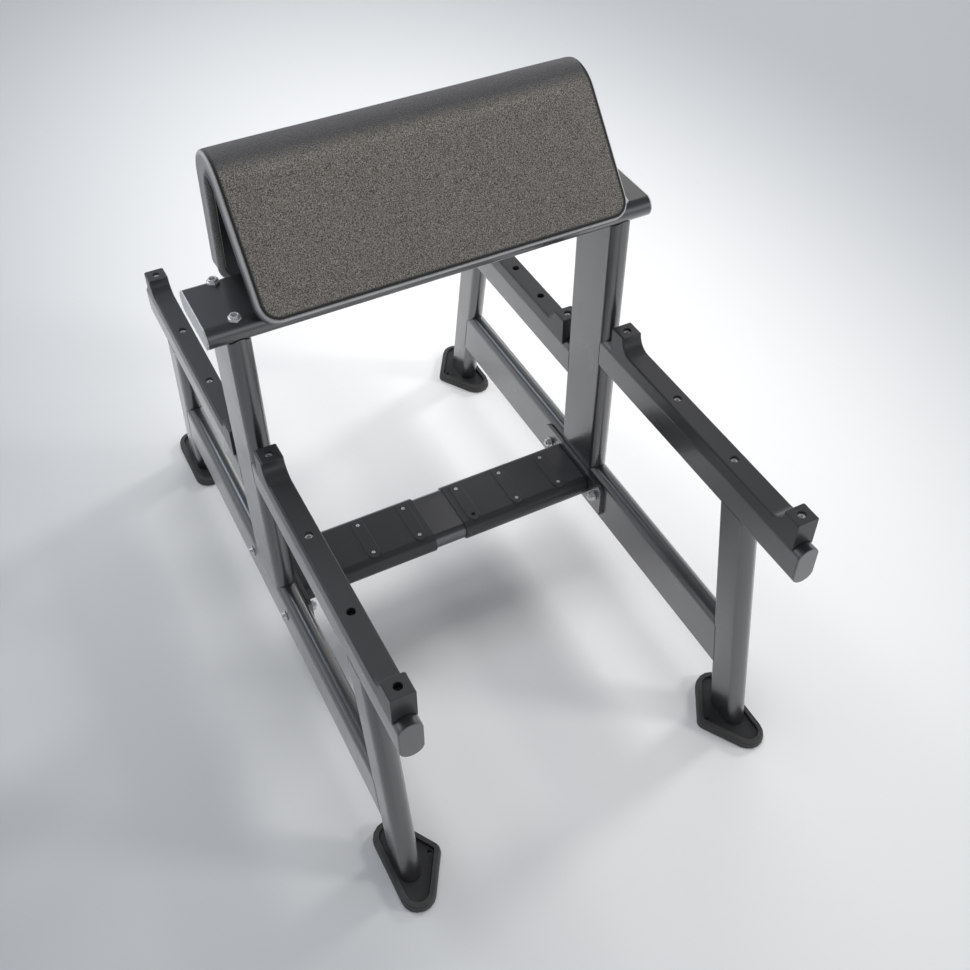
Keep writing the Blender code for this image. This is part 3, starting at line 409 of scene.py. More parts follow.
def pad_vinyl(name, finishes, sizes):
    """Pebbled vinyl on the panel, a paler band round the edge and a dark inner face.
    The pebbles' tone is partly painted highlights and shade. There is painted shade along the ridge,
    beside the seam and darkening down the side, and a painted highlight along the band's rim.

    The mesh carries the distance from the pad's outline: above 0 on the outer face, below 0 on the
    side and on the inner face.
    """
    panel = tuple(finishes.pad_panel)
    recipe = Recipe(name, panel, 0.5)
    pebbles = recipe.span(recipe.cells(480, 0.3), 1.0, 0.55, 0.1, 0.6)
    worms = recipe.noise(520, 2.0, 0.65)
    grain = recipe.calculate("MULTIPLY", pebbles, recipe.span(worms, 0.0, 1.0, 0.36, 0.64))
    # The pebbles' light and dark tone: partly the vinyl's own grain, partly painted highlights on
    # the pebbles and painted shade between them
    pebble_tone_and_glints = recipe.span(grain, 0, 1, 0.0, 0.85)
    panel_colour = recipe.blend(pebble_tone_and_glints, shade(panel, 0.22), shade(panel, 2.4))
    place = recipe.add("ShaderNodeSeparateXYZ")
    recipe.join(recipe.point, place.inputs["Vector"])
    # Painted shade: the panel turns darker towards the top of the ridge, blended in by height
    ridge = recipe.span(place.outputs["Z"], 0, 0.85, sizes.top - 0.017, sizes.top - 0.004)
    panel_colour = recipe.blend(ridge, panel_colour, tuple(finishes.pad_ridge_shade))
    distance = recipe.attribute("edge_distance")
    edge, side = sizes.edge, sizes.thickness
    band = tuple(finishes.pad_band)
    mottle = recipe.span(worms, 0, 1, 0.36, 0.64)
    band_colour = recipe.blend(mottle, shade(band, 0.55), shade(band, 1.1))
    # Painted highlight: a lighter line along the outer rim of the band
    rim_highlight = recipe.span(recipe.calculate("ABSOLUTE", distance), 1, 0, 0.2 * edge, 0.5 * edge)
    colour = recipe.blend(rim_highlight, band_colour, shade(band, 1.35))
    # Painted shade beside the seam: dark between the band and the panel
    beside = recipe.span(distance, 0, 1, 0.45 * edge, 0.75 * edge)
    colour = recipe.blend(beside, colour, tuple(finishes.pad_seam_shade))
    inside = recipe.span(distance, 0, 1, 1.15 * edge, 1.7 * edge)
    colour = recipe.blend(inside, colour, panel_colour)
    # The inner face's own dark colour; the darkening down the side towards it, set later on the rear
    # part, is painted shade
    behind = sizes.ridge_place
    rear = recipe.span(place.outputs["Y"], 0, 0.6 * side, behind, behind + 0.03)
    lining_and_side_shade = recipe.span(recipe.calculate("ADD", distance, rear), 0, 1, -0.45 * side, -0.80 * side)
    colour = recipe.blend(lining_and_side_shade, colour, tuple(finishes.pad_inside))
    recipe.join(colour, recipe.shader.inputs["Base Color"])
    recipe.join(recipe.span(inside, 0.42, 0.50), recipe.shader.inputs["Roughness"])
    recipe.relief(recipe.calculate("MULTIPLY", grain, recipe.span(inside, 0.15, 1.0)), 0.0007)
    recipe.relief(recipe.noise(1700, 2.0, 0.5), 0.00005)
    fill_in(recipe.shader, {"Sheen Weight": 0.08, "Sheen Roughness": 0.4})


def painted_board(name, finishes):
    """A board with a black painted face and unpainted edges that show its layers; their light tone
    is partly a painted highlight.
    """
    recipe = Recipe(name, tuple(finishes.board_face), 0.55)
    normal = recipe.add("ShaderNodeNewGeometry").outputs["True Normal"]
    parts = recipe.add("ShaderNodeSeparateXYZ")
    recipe.join(normal, parts.inputs["Vector"])
    side = recipe.calculate("ABSOLUTE", parts.outputs["X"])
    edge = recipe.span(side, 0, 1, 0.55, 0.6)
    layers = recipe.noise(300, 3.0, 0.5, stretch=(1.0, 4.0, 0.3))
    # Light edge tone: partly the unpainted wood, partly a painted highlight along the board's edges
    wood = tuple(finishes.board_edge)
    bare_edge_and_highlight = recipe.blend(layers, shade(wood, 0.7), shade(wood, 1.25))
    grain = recipe.noise(40, 5.0, 0.6, stretch=(0.2, 1.0, 1.0))
    face = tuple(finishes.board_face)
    painted = recipe.blend(grain, shade(face, 0.8), shade(face, 1.2))
    recipe.join(recipe.blend(edge, painted, bare_edge_and_highlight), recipe.shader.inputs["Base Color"])
    recipe.relief(grain, 0.00006)


def make_materials(finishes, pad):
    """All finishes of the bench, each with the name of its slot."""
    powder_coat("frame_paint", finishes.frame_paint, 0.30, 0.9, 0.6)
    powder_coat("cap_paint", finishes.cap_paint, 0.40, 0.5, 0.05)
    powder_coat("black_paint", finishes.black_paint, 0.30, 0.0, 0.0)
    moulded_plastic("black_plastic", finishes.black_plastic, 0.29, 0.00004)
    moulded_rubber("black_rubber", finishes.rubber)
    plated_steel("zinc", finishes.zinc)
    pad_vinyl("pad_vinyl", finishes, pad)
    painted_board("board_paint", finishes)


class BENCH_OT_finishes(bpy.types.Operator):
    """Make the finishes and put them on the pieces that come from the model"""

    bl_idname = "bench.finishes"
    bl_label = "Finishes"

    def execute(self, context):
        scene = context.scene
        make_materials(scene.bench_finishes, scene.bench_pad)
        for node, slot in NODE_SLOTS.items():
            obj = frame["nodes"][node]
            paint(obj, slot)
        return {"FINISHED"}


# Rounded edges on the rigid pieces

TUBES = ("lower_rail", "upright", "front_leg", "rear_leg", "front_rack_rail", "rear_rack_rail")
CAPS = ("front_rack_end_cap", "rear_rack_end_cap", "beam_end_cap")
PLATES = ("flange", "front_foot_plate", "rear_foot_plate", "pad_bracket")
RACK_COVERS = ("front_rack_cover", "rear_rack_cover")
BRACE_COVERS = ("brace_cover",)
FEET = ("front_foot", "rear_foot")


def merged_copy(node):
    """A copy of a node's mesh with its loose triangles joined into whole faces."""
    obj = new_object(f"{node}_skin", frame["nodes"][node].data.copy())
    choose(obj)
    bpy.ops.object.mode_set(mode="EDIT")
    bpy.ops.mesh.select_all(action="SELECT")
    bpy.ops.mesh.customdata_custom_splitnormals_clear()
    bpy.ops.mesh.remove_doubles(threshold=0.00001)
    bpy.ops.mesh.dissolve_limited(angle_limit=math.radians(0.5))
    bpy.ops.object.mode_set(mode="OBJECT")
    return obj


def lower_top(obj, drop):
    """Move an upright's coped upper end down, which leaves a dark line under the beam."""
    choose(obj)
    bpy.ops.object.mode_set(mode="EDIT")
    mesh = bmesh.from_edit_mesh(obj.data)
    top = max(vert.co.z for vert in mesh.verts)
    for vert in mesh.verts:
        vert.select = vert.co.z > top - TUBE_WIDTH
    mesh.select_flush_mode()
    bmesh.update_edit_mesh(obj.data)
    bpy.ops.transform.translate(value=(0, 0, -drop))
    bpy.ops.object.mode_set(mode="OBJECT")


def rounded_skin(node, width, segments, clamp=True, drop=0.0):
    """Replace a node by a copy with rounded edges between flat faces."""
    obj = merged_copy(node)
    if drop:
        lower_top(obj, drop)
    round_edges(obj, width, segments, 34, clamp)
    choose(obj)
    bpy.ops.object.shade_smooth()
    normals = obj.modifiers.new("normals", "WEIGHTED_NORMAL")
    normals.mode = "FACE_AREA"
    normals.weight = 60
    apply_modifiers(obj)
    finish_piece(obj, NODE_SLOTS[node], node)


class BENCH_OT_rounded_edges(bpy.types.Operator):
    """Round the edges of tubes, plates, caps, covers and feet"""

    bl_idname = "bench.rounded_edges"
    bl_label = "Rounded edges"

    def execute(self, context):
        sizes = context.scene.bench_edges
        groups = (
            (TUBES + ("top_plate",), sizes.tubes, 2, True),
            (CAPS, sizes.caps, 2, True),
            (PLATES, sizes.plates, 2, True),
            (RACK_COVERS, sizes.covers, 2, False),
            (BRACE_COVERS, sizes.bars, 3, False),
            (FEET, sizes.feet, 2, True),
        )
        for kinds, width, segments, clamp in groups:
            for side_name, _ in SIDES:
                for kind in kinds:
                    drop = sizes.beam_gap if kind == "upright" else 0.0
                    rounded_skin(f"{side_name}_{kind}", width, segments, clamp, drop)
        rounded_skin("top_beam", sizes.tubes, 2)
        rounded_skin("cross_brace", sizes.tubes, 2)
        return {"FINISHED"}


# Arm pad

POCKET_ROWS = (-0.0004, 0.0, 0.0008)  # from the pocket's margin, so that its wall stays steep
CORNER_ROWS = (0.017, 0.022, 0.027)  # from the outline, up to the radius of the corners
SIDE_LEVELS = 7
RIDGE_CROWN = 0.7  # share of the front's swell that is left at the rear end of the bend
CLOTH_FRAMES = 20
CLOTH = {
    "use_pressure": True,
    "uniform_pressure_force": 4.0,
    "tension_stiffness": 30.0,
    "compression_stiffness": 30.0,
    "bending_stiffness": 2.0,
    "quality": 4,
}


def pad_walk(pad):
    """The pad's outer line, as a function from the distance along it to (Y, Z) and the way out.

    Also the distance at which the bend ends, and the line's whole length.
    """
    front_turn = pad.front_slope + math.pi / 2
    ridge = Vector((pad.ridge_place, pad.top - pad.ridge_radius))

    def way_out(turn):
        return Vector((math.cos(turn), math.sin(turn)))

    front_out = way_out(front_turn)
    rear_out = way_out(pad.rear_lean)
    front_end = ridge + front_out * pad.ridge_radius
    rear_start = ridge + rear_out * pad.ridge_radius
    bend = pad.ridge_radius * (front_turn - pad.rear_lean)
    rear_distance = pad.front_length + bend

    def station(distance):
        if distance <= pad.front_length:
            uphill = Vector((front_out.y, -front_out.x))
            return front_end - uphill * (pad.front_length - distance), front_out
        if distance <= rear_distance:
            out = way_out(front_turn - (distance - pad.front_length) / pad.ridge_radius)
            return ridge + out * pad.ridge_radius, out
        downhill = Vector((rear_out.y, -rear_out.x))
        return rear_start + downhill * (distance - rear_distance), rear_out

    return station, rear_distance, rear_distance + pad.rear_length


def edge_steps(pad):
    """Distances from the outline of the rows of points at the edge, seam, pocket and corner."""
    edge = [pad.edge * (1 - math.cos(math.radians(turn))) for turn in (0, 25, 45, 65)]
    seam = [pad.edge + widths * pad.seam_and_shadow_line_width for widths in (-1, 0, 1, 3)]
    pocket = [pad.pocket_margin + shift for shift in POCKET_ROWS]
    return [*edge, *seam, *pocket, *CORNER_ROWS, pad.corner]


def spread_steps(start, end, step):
    """Even steps from start to end, without the two ends."""
    count = max(2, round((end - start) / step))
    return [start + (end - start) * i / count for i in range(1, count)]


def outline_distance(pad, length, x, distance):
    """How far inside the pad's outline a point lies, and the way out from there."""
    corner = pad.corner
    across = abs(x) - (pad.length / 2 - corner)
    along = abs(distance - length / 2) - (length / 2 - corner)
    side = math.copysign(1, x)
    end = math.copysign(1, distance - length / 2)
    if across > 0 and along > 0:
        reach = math.hypot(across, along)
        return corner - reach, (side * across / reach, end * along / reach)
    if across > along:
        return corner - across, (side, 0.0)
    return corner - along, (0.0, end)


def rounding(radius, inside):
    """How far a round edge of that radius drops at a distance inside the outline."""
    if inside >= radius:
        return 0.0
    return radius - math.sqrt(max(0.0, radius**2 - (radius - inside) ** 2))


def crown(pad, rear_distance, length, x, distance):
    """How far the cushion swells beyond its plain outer line."""
    across = 1 - (2 * x / pad.length) ** 4
    if distance < pad.front_length:
        rise = math.sin(math.pi * distance / (2 * pad.front_length)) ** 0.5
        return pad.front_crown * across * rise
    if distance < rear_distance:
        share = (distance - pad.front_length) / (rear_distance - pad.front_length)
        return pad.front_crown * ((1 - share) ** 2 + RIDGE_CROWN * share) * across
    share = (distance - rear_distance) / (length - rear_distance)
    ridge = RIDGE_CROWN * pad.front_crown * (1 - share)
    return (ridge + 4 * pad.rear_crown * share * (1 - share)) * across


def pad_mesh(pad):
    """The cushion as one closed skin: outer face, band, inner face with the board's pocket."""
    station, rear_distance, length = pad_walk(pad)
    near = edge_steps(pad)
    far = near[::-1]
    rows = spread_steps(pad.corner, length - pad.corner, pad.step)
    rows = near + rows + [length - n for n in far]
    half = pad.length / 2
    builder = bmesh.new()
    layer = builder.verts.layers.float.new("edge_distance")

    def add_point(x, distance, lift, tag):
        within = min(max(distance, 0.0), length)
        centre, out = station(within)
        point = centre + out * lift + Vector((out.y, -out.x)) * (distance - within)
        vert = builder.verts.new((x, point.x, point.y))
        vert[layer] = tag
        return vert

    outer, inner = [], []
    middle = spread_steps(pad.corner - half, half - pad.corner, pad.step)
    for distance in rows:
        reach = min(distance, length - distance)
        width = half
        if reach < pad.corner:
            width = half - pad.corner + math.sqrt(pad.corner**2 - (pad.corner - reach) ** 2)
        scale = (width - pad.corner) / (half - pad.corner)
        columns = [n - width for n in near] + [m * scale for m in middle] + [width - n for n in far]
        outer_row, inner_row = [], []
        for x in columns:
            inside, _ = outline_distance(pad, length, x, distance)
            inside = max(0.0, inside)
            seam = pad.seam_depth * math.exp(-(((inside - pad.edge) / pad.seam_and_shadow_line_width) ** 2))
            lift = crown(pad, rear_distance, length, x, distance)
            lift = lift - rounding(pad.edge, inside) - seam
            outer_row.append(add_point(x, distance, lift, inside))
            depth = pad.thickness - rounding(pad.inner_edge, inside)
            if inside > pad.pocket_margin:
                depth = pad.thickness - pad.pocket_depth
            inner_row.append(add_point(x, distance, -depth, -pad.thickness - inside))
        outer.append(outer_row)
        inner.append(inner_row)

    def border(grid):
        last = len(grid[0]) - 1
        loop = list(grid[0])
        loop += [grid[i][last] for i in range(1, len(grid))]
        loop += [grid[-1][j] for j in range(last - 1, -1, -1)]
        return loop + [grid[i][0] for i in range(len(grid) - 2, 0, -1)]

    places = [[(vert.co.x, distance) for vert in row] for distance, row in zip(rows, outer)]
    loops = [border(outer)]
    for level in range(1, SIDE_LEVELS):
        share = level / SIDE_LEVELS
        depth = pad.edge + (pad.thickness - pad.edge - pad.inner_edge) * share
        ring = []
        for x, distance in border(places):
            _, out = outline_distance(pad, length, x, distance)
            pull = pad.side_draw * math.sin(math.pi * share)
            ring.append(add_point(x - out[0] * pull, distance - out[1] * pull, -depth, -depth))
        loops.append(ring)
    loops.append(border(inner))

    for i in range(len(rows) - 1):
        for j in range(len(outer[0]) - 1):
            builder.faces.new((outer[i][j], outer[i][j + 1], outer[i + 1][j + 1], outer[i + 1][j]))
            builder.faces.new((inner[i][j], inner[i + 1][j], inner[i + 1][j + 1], inner[i][j + 1]))
    count = len(loops[0])
    for upper, lower in zip(loops, loops[1:]):
        for index in range(count):
            after = (index + 1) % count
            builder.faces.new((upper[index], lower[index], lower[after], upper[after]))
    bmesh.ops.recalc_face_normals(builder, faces=builder.faces)
    mesh = bpy.data.meshes.new("arm_cushion")
    builder.to_mesh(mesh)
    builder.free()
    return mesh


def swell(obj, pad):
    """Let the panel swell between its seams, as sewn foam does, and keep the shape."""
    scene = bpy.context.scene
    start = [vert.co.copy() for vert in obj.data.vertices]
    tags = obj.data.attributes["edge_distance"].data
    held = obj.vertex_groups.new(name="held")
    for index, tag in enumerate(tags):
        slack = min(1.0, max(0.0, (tag.value - 2 * pad.edge) / (6 * pad.edge)))
        held.add([index], 1.0 - slack, "REPLACE")
    cloth = obj.modifiers.new("cloth", "CLOTH")
    cloth.settings.vertex_group_mass = held.name
    cloth.settings.effector_weights.gravity = 0.0
    for key, value in CLOTH.items():
        setattr(cloth.settings, key, value)
    cloth.point_cache.frame_start = 1
    cloth.point_cache.frame_end = CLOTH_FRAMES
    for number in range(1, CLOTH_FRAMES + 1):
        scene.frame_set(number)
    choose(obj)
    bpy.ops.object.modifier_apply(modifier=cloth.name)
    scene.frame_set(1)
    for vert, old in zip(obj.data.vertices, start):
        move = vert.co - old
        if move.length > pad.swell:
            move *= pad.swell / move.length
        vert.co = old + move
    obj.vertex_groups.clear()


class BENCH_OT_arm_pad(bpy.types.Operator):
    """Make the arm pad's cushion, with its seam and its paler band"""

    bl_idname = "bench.arm_pad"
    bl_label = "Arm pad"

    def execute(self, context):
        pad = context.scene.bench_pad
        obj = new_object("arm_cushion", pad_mesh(pad))
        swell(obj, pad)
        choose(obj)
        smooth = obj.modifiers.new("smooth", "SUBSURF")
        smooth.levels = 1
        smooth.render_levels = 1
        apply_modifiers(obj)
        bpy.ops.object.shade_smooth()
        finish_piece(obj, "pad_vinyl", "arm_pad")
        return {"FINISHED"}


# Fasteners

BOLT_KINDS = ("beam_bolt", "bracket_bolt", "flange_bolt")
SHANK_OVERLAP = 0.0015  # how far a shank reaches into its head
SHANK_SHORTFALL = 0.0005  # how much shorter a shank is than the model's
SEAT_GAP = 0.0003  # how far a flange bolt is moved in; also the room round a nut's shank
SCREW_GAP = 0.0002  # between a cover screw's head and the bottom of its hole


def new_rod(name, sides, radius, low, high):
    """A round or many-sided rod that stands on the Z axis, from low to high."""
    clear_selection()
    bpy.ops.mesh.primitive_cylinder_add(
        vertices=sides, radius=radius, depth=high - low, location=(0, 0, (low + high) / 2)
    )
    obj = bpy.context.object
    obj.name = name
    settle(obj)
    return obj


def combine(obj, tool, operation):
    """Join the tool to obj (UNION) or cut it out of obj (DIFFERENCE), and delete the tool."""
    modifier = obj.modifiers.new("combine", "BOOLEAN")
    modifier.operation = operation
    modifier.solver = "EXACT"
    modifier.object = tool
    apply_modifiers(obj)
    remove(tool)


def ease_edges(obj, width):
    """Ease the edges of a small piece, and shade it smooth between them."""
    round_edges(obj, width, 2, 50)
    choose(obj)
    bpy.ops.object.shade_smooth_by_angle(angle=math.radians(35))


def socket_bolt(name, sizes, shank, length, head, height, washer=None):
    """A socket-head bolt that points up: its washer, or its head, seats at Z = 0."""
    seat = sizes.washer_thickness if washer else 0.0
    top = seat + height
    obj = new_rod(name, sizes.sides, head, 0.5 * seat, top)
    if washer:
        combine(obj, new_rod("washer", sizes.sides, washer, 0.0, seat), "UNION")
    combine(obj, new_rod("shank", sizes.sides, shank, -length, SHANK_OVERLAP), "UNION")
    socket = sizes.socket_radius * min(1.0, head / sizes.head_radius)
    depth = min(sizes.socket_depth, 0.7 * height)
    combine(obj, new_rod("socket", 6, socket, top - depth, top + depth), "DIFFERENCE")
    ease_edges(obj, sizes.bevel)
    return obj


def beam_nut(name, sizes, length):
    """A hexagon nut on its shank, under a round collar with a hollow end; it seats at Z = 0."""
    overlap = 0.001
    top = sizes.washer_thickness + sizes.head_height
    collar = 0.92 * sizes.head_radius
    hollow = 0.96 * sizes.shank_radius
    obj = new_rod(name, 6, sizes.beam_nut_radius, 0.0, sizes.beam_nut_height)
    combine(obj, new_rod("collar", sizes.sides, collar, overlap, top), "UNION")
    combine(obj, new_rod("shank", sizes.sides, sizes.shank_radius, -length, overlap), "UNION")
    end = new_rod("hollow", sizes.sides, hollow, top - sizes.socket_depth, top + overlap)
    combine(obj, end, "DIFFERENCE")
    ease_edges(obj, 1.5 * sizes.bevel)
    return obj


def flange_nut(name, sizes):
    """A hexagon nut on its washer, which seats at Z = 0."""
    seat = sizes.washer_thickness
    top = seat + sizes.nut_height
    obj = new_rod(name, sizes.sides, sizes.washer_radius, 0.0, seat)
    combine(obj, new_rod("hexagon", 6, sizes.nut_radius, seat / 2, top), "UNION")
    hole = sizes.shank_radius + SEAT_GAP
    combine(obj, new_rod("hole", sizes.sides, hole, -sizes.nut_height, 2 * top), "DIFFERENCE")
    ease_edges(obj, 2 * sizes.bevel)
    return obj


def turn_to(direction, place):
    """The matrix that turns +Z to a direction and moves the origin to a place."""
    quaternion = Vector(direction).to_track_quat("Z", "Y")
    return Matrix.Translation(place) @ quaternion.to_matrix().to_4x4()


def outer_ends(node, side):
    """The middle of a node's outer end on X, the middle of its top, and its size."""
    low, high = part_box(node)
    middle = (low + high) / 2
    outer = Vector((high.x if side > 0 else low.x, middle.y, middle.z))
    return outer, Vector((middle.x, middle.y, high.z)), high - low


# Dark beads where the tubes of a side frame meet, put in as painted shade

# Y and Z of both ends of each dark bead
SHADOW_LINES = {
    "front_rail": ((-0.0529, 0.5145), (-0.0529, 0.5635)),
    "rear_rail": ((0.0529, 0.4105), (0.0529, 0.4595)),
    "front_leg": ((-0.5142, 0.5142), (-0.4645, 0.5142)),
    "rear_leg": ((0.4827, 0.4102), (0.5325, 0.4102)),
    "lower_rail_front": ((-0.5325, 0.1273), (-0.5164, 0.2183)),
    "lower_rail_rear": ((0.5325, 0.1273), (0.5164, 0.2183)),
}


def shadow_line_bead(name, sizes, length):
    """A low bead with eased ends that lies along the Z axis, its middle at the origin."""
    obj = new_rod(name, 12, sizes.seam_and_shadow_line_width / 2, -length / 2, length / 2)
    bpy.ops.object.mode_set(mode="EDIT")
    bpy.ops.mesh.select_all(action="SELECT")
    flat = 2 * sizes.shadow_line_height / sizes.seam_and_shadow_line_width
    bpy.ops.transform.resize(value=(flat, 1, 1), center_override=(0, 0, 0))
    bpy.ops.object.mode_set(mode="OBJECT")
    ease_edges(obj, sizes.shadow_line_height / 2)
    return obj


class BENCH_OT_shadow_lines(bpy.types.Operator):
    """Make the thin dark beads where the tubes of the side frames meet, as painted shade in those
    joints
    """

    bl_idname = "bench.seams"
    bl_label = "Seams"

    def execute(self, context):
        for shadow_line_name, ends in SHADOW_LINES.items():
            start, end = (Vector((0, *point)) for point in ends)
            along = end - start
            master = shadow_line_bead(f"{shadow_line_name}_seam_master", context.scene.bench_edges, along.length)
            lean = Matrix.Rotation(-math.atan2(along.y, along.z), 4, "X")
            for side_name, side in SIDES:
                for face_name, face in (("inner", -1), ("outer", 1)):
                    x = side * (FRAME_PLACE + face * TUBE_WIDTH / 2)
                    matrix = Matrix.Translation((start + end) / 2 + Vector((x, 0, 0))) @ lean
                    copy = place_copy(master, f"{shadow_line_name}_seam_{side_name}_{face_name}", matrix)
                    # Painted shade: a dark rubber bead laid where the joint has only shade
                    finish_piece(copy, "black_rubber")
            remove(master)
        return {"FINISHED"}


def bolt_master(kind, sizes, reach):
    """A bolt of that kind that points up, and the height of its head and washer."""
    name = f"{kind}_master"
    if kind == "bracket_bolt":
        height, washer = sizes.small_head_height, sizes.small_washer_radius
        shank, head = sizes.small_shank_radius, sizes.small_head_radius
    else:
        height, washer = sizes.head_height, sizes.washer_radius
        shank, head = sizes.shank_radius, sizes.head_radius
    above = height + sizes.washer_thickness
    length = reach - above - SHANK_SHORTFALL
    if kind == "beam_bolt":
        return beam_nut(name, sizes, length), above
    return socket_bolt(name, sizes, shank, length, head, height, washer), above


class BENCH_OT_bolts(bpy.types.Operator):
    """Make the bolts of the top beam, of the brace's flanges and of the pad's brackets"""

    bl_idname = "bench.bolts"
    bl_label = "Bolts"

    def execute(self, context):
        sizes = context.scene.bench_fasteners
        masters = {}
        for side_name, side, end_name, _ in CORNERS:
            for kind in BOLT_KINDS:
                node = f"{side_name}_{end_name}_{kind}"
                outer, top, size = outer_ends(node, side)
                if kind == "flange_bolt":
                    tip, out, reach, gap = outer, Vector((side, 0, 0)), size.x, SEAT_GAP
                else:
                    tip, out, reach, gap = top, UP, size.z, 0.0
                if kind not in masters:
                    masters[kind] = bolt_master(kind, sizes, reach)
                master, above = masters[kind]
                matrix = turn_to(out, tip - out * (above + gap))
                copy = place_copy(master, f"{kind}_{side_name}_{end_name}", matrix)
                finish_piece(copy, "zinc", node)
        for master, _ in masters.values():
            remove(master)
        return {"FINISHED"}


class BENCH_OT_nuts(bpy.types.Operator):
    """Make the nuts behind the brace's flanges"""

    bl_idname = "bench.nuts"
    bl_label = "Nuts"

    def execute(self, context):
        sizes = context.scene.bench_fasteners
        master = flange_nut("nut_master", sizes)
        for side_name, side, end_name, _ in CORNERS:
            node = f"{side_name}_{end_name}_flange_nut"
            seat, _, _ = outer_ends(node, side)
            matrix = turn_to((-side, 0, 0), seat)
            copy = place_copy(master, f"flange_nut_{side_name}_{end_name}", matrix)
            finish_piece(copy, "zinc", node)
        remove(master)
        return {"FINISHED"}


# Screws of the covers, which the model leaves to this script

# Distance on Y of each hole from the middle of the bench; None is a hole without a screw
RACK_HOLES = {
    ("left", "front"): (0.1085, 0.2802, None, None),
    ("right", "front"): (0.1085, 0.2802, 0.4519, 0.6245),
    ("left", "rear"): (0.1000, 0.2717, 0.4434, 0.6080),
    ("right", "rear"): (0.1000, None, None, 0.4270, 0.6080),
}
COVER_HOLE_DEPTH = 0.014
COVER_SADDLE_DROP = 0.030
BAR_PLACES = (0.061, 0.1625, 0.2625)  # distance on X of each bar from the middle
BAR_SCREWS = (("front", -0.043), ("rear", 0.0375))
BAR_HOLE_DEPTH = 0.003
EMPTY_BAR_HOLE = ("right", 0, "front")


class BENCH_OT_rack_screws(bpy.types.Operator):
    """Make the screws in the counterbored holes of the rack covers"""

    bl_idname = "bench.rack_screws"
    bl_label = "Rack screws"

    def execute(self, context):
        sizes = context.scene.bench_fasteners
        shape = sizes.screw_shank, sizes.screw_length, sizes.screw_head, sizes.screw_height
        master = socket_bolt("rack_screw_master", sizes, *shape)
        for side_name, side, end_name, end in CORNERS:
            _, top, _ = outer_ends(f"{side_name}_{end_name}_rack_cover", side)
            places = RACK_HOLES[side_name, end_name]
            for index, place in enumerate(places):
                if place is None:
                    continue
                mouth = top.z if index in (0, len(places) - 1) else top.z - COVER_SADDLE_DROP
                seat = (top.x, end * place, mouth - COVER_HOLE_DEPTH + SCREW_GAP)
                name = f"rack_screw_{side_name}_{end_name}_{index + 1}"
                finish_piece(place_copy(master, name, turn_to(UP, seat)), "zinc")
        remove(master)
        return {"FINISHED"}


class BENCH_OT_brace_screws(bpy.types.Operator):
    """Make the screws in the raised bars of the brace covers"""

    bl_idname = "bench.brace_screws"
    bl_label = "Brace screws"

    def execute(self, context):
        sizes = context.scene.bench_fasteners
        shape = (
            sizes.small_screw_shank,
            sizes.small_screw_length,
            sizes.small_screw_head,
            sizes.small_screw_height,
        )
        master = socket_bolt("brace_screw_master", sizes, *shape)
        for side_name, side in SIDES:
            _, top, _ = outer_ends(f"{side_name}_brace_cover", side)
            for index, place in enumerate(BAR_PLACES):
                for end_name, y in BAR_SCREWS:
                    if (side_name, index, end_name) == EMPTY_BAR_HOLE:
                        continue
                    seat = (side * place, y, top.z - BAR_HOLE_DEPTH + SCREW_GAP)
                    name = f"brace_screw_{side_name}_{end_name}_{index + 1}"
                    finish_piece(place_copy(master, name, turn_to(UP, seat)), "zinc")
        remove(master)
        return {"FINISHED"}


# Stage

CAMERA_PLACE = (-0.6705, -1.5056, 2.0055)
CAMERA_TILT = math.radians(43.67)
CAMERA_TURN = math.radians(-27.42)
CAMERA_LENS = 43.80
CAMERA_SENSOR = 36.0

# Name, place, size, power and colour of each soft light. The three lights stay out of reflections;
# the gleams and the panel are what the tubes and covers mirror.
LIGHTS = (
    ("right_light", (13.7, 3.3, 7.4), (2.6, 2.6), 740, (1.0, 0.99, 0.97)),
    ("front_light", (12.2, -7.9, 6.6), (2.6, 2.6), 740, (1.0, 0.99, 0.97)),
    ("rear_light", (0.2, 1.5, 4.8), (5.0, 5.0), 196, (1.0, 1.0, 1.0)),
)
GLEAMS = (
    ("cool_gleam", (-1.3, 4.2, 4.6), (1.8, 1.6), 28, (0.80, 0.89, 1.0)),
    ("warm_gleam", (3.8, 3.8, 1.0), (1.4, 1.0), 11, (1.0, 0.94, 0.86)),
    ("side_panel", (1.9, 2.3, 3.1), (1.3, 1.6), 3.6, (1.0, 0.95, 0.90)),
)
LIGHT_TARGET = Vector((0, 0, 0.5))

# Z of the view, and colour, where the studio's walls end and where its ceiling begins
STUDIO = ((0.30, (0.76, 0.79, 0.83)), (0.55, (0.125, 0.135, 0.15)))

FLOOR_SIZE = 40
FLOOR_DROP = 0.0004
# Middle and reach of the floor's painted pool of light
FLOOR_LIGHT_POOL_MIDDLE = (0.5, 0.4)
FLOOR_LIGHT_POOL_REACH = (1.9, 3.8)


def add_area_light(name, place, size, energy, colour, glossy):
    """A soft light at a place, turned to the bench."""
    light = bpy.data.lights.new(name, "AREA")
    light.shape = "RECTANGLE"
    light.size, light.size_y = size
    light.energy = energy
    light.color = colour
    obj = new_object(name, light)
    obj.location = place
    direction = LIGHT_TARGET - Vector(place)
    obj.rotation_euler = direction.to_track_quat("-Z", "Y").to_euler()
    obj.visible_glossy = glossy


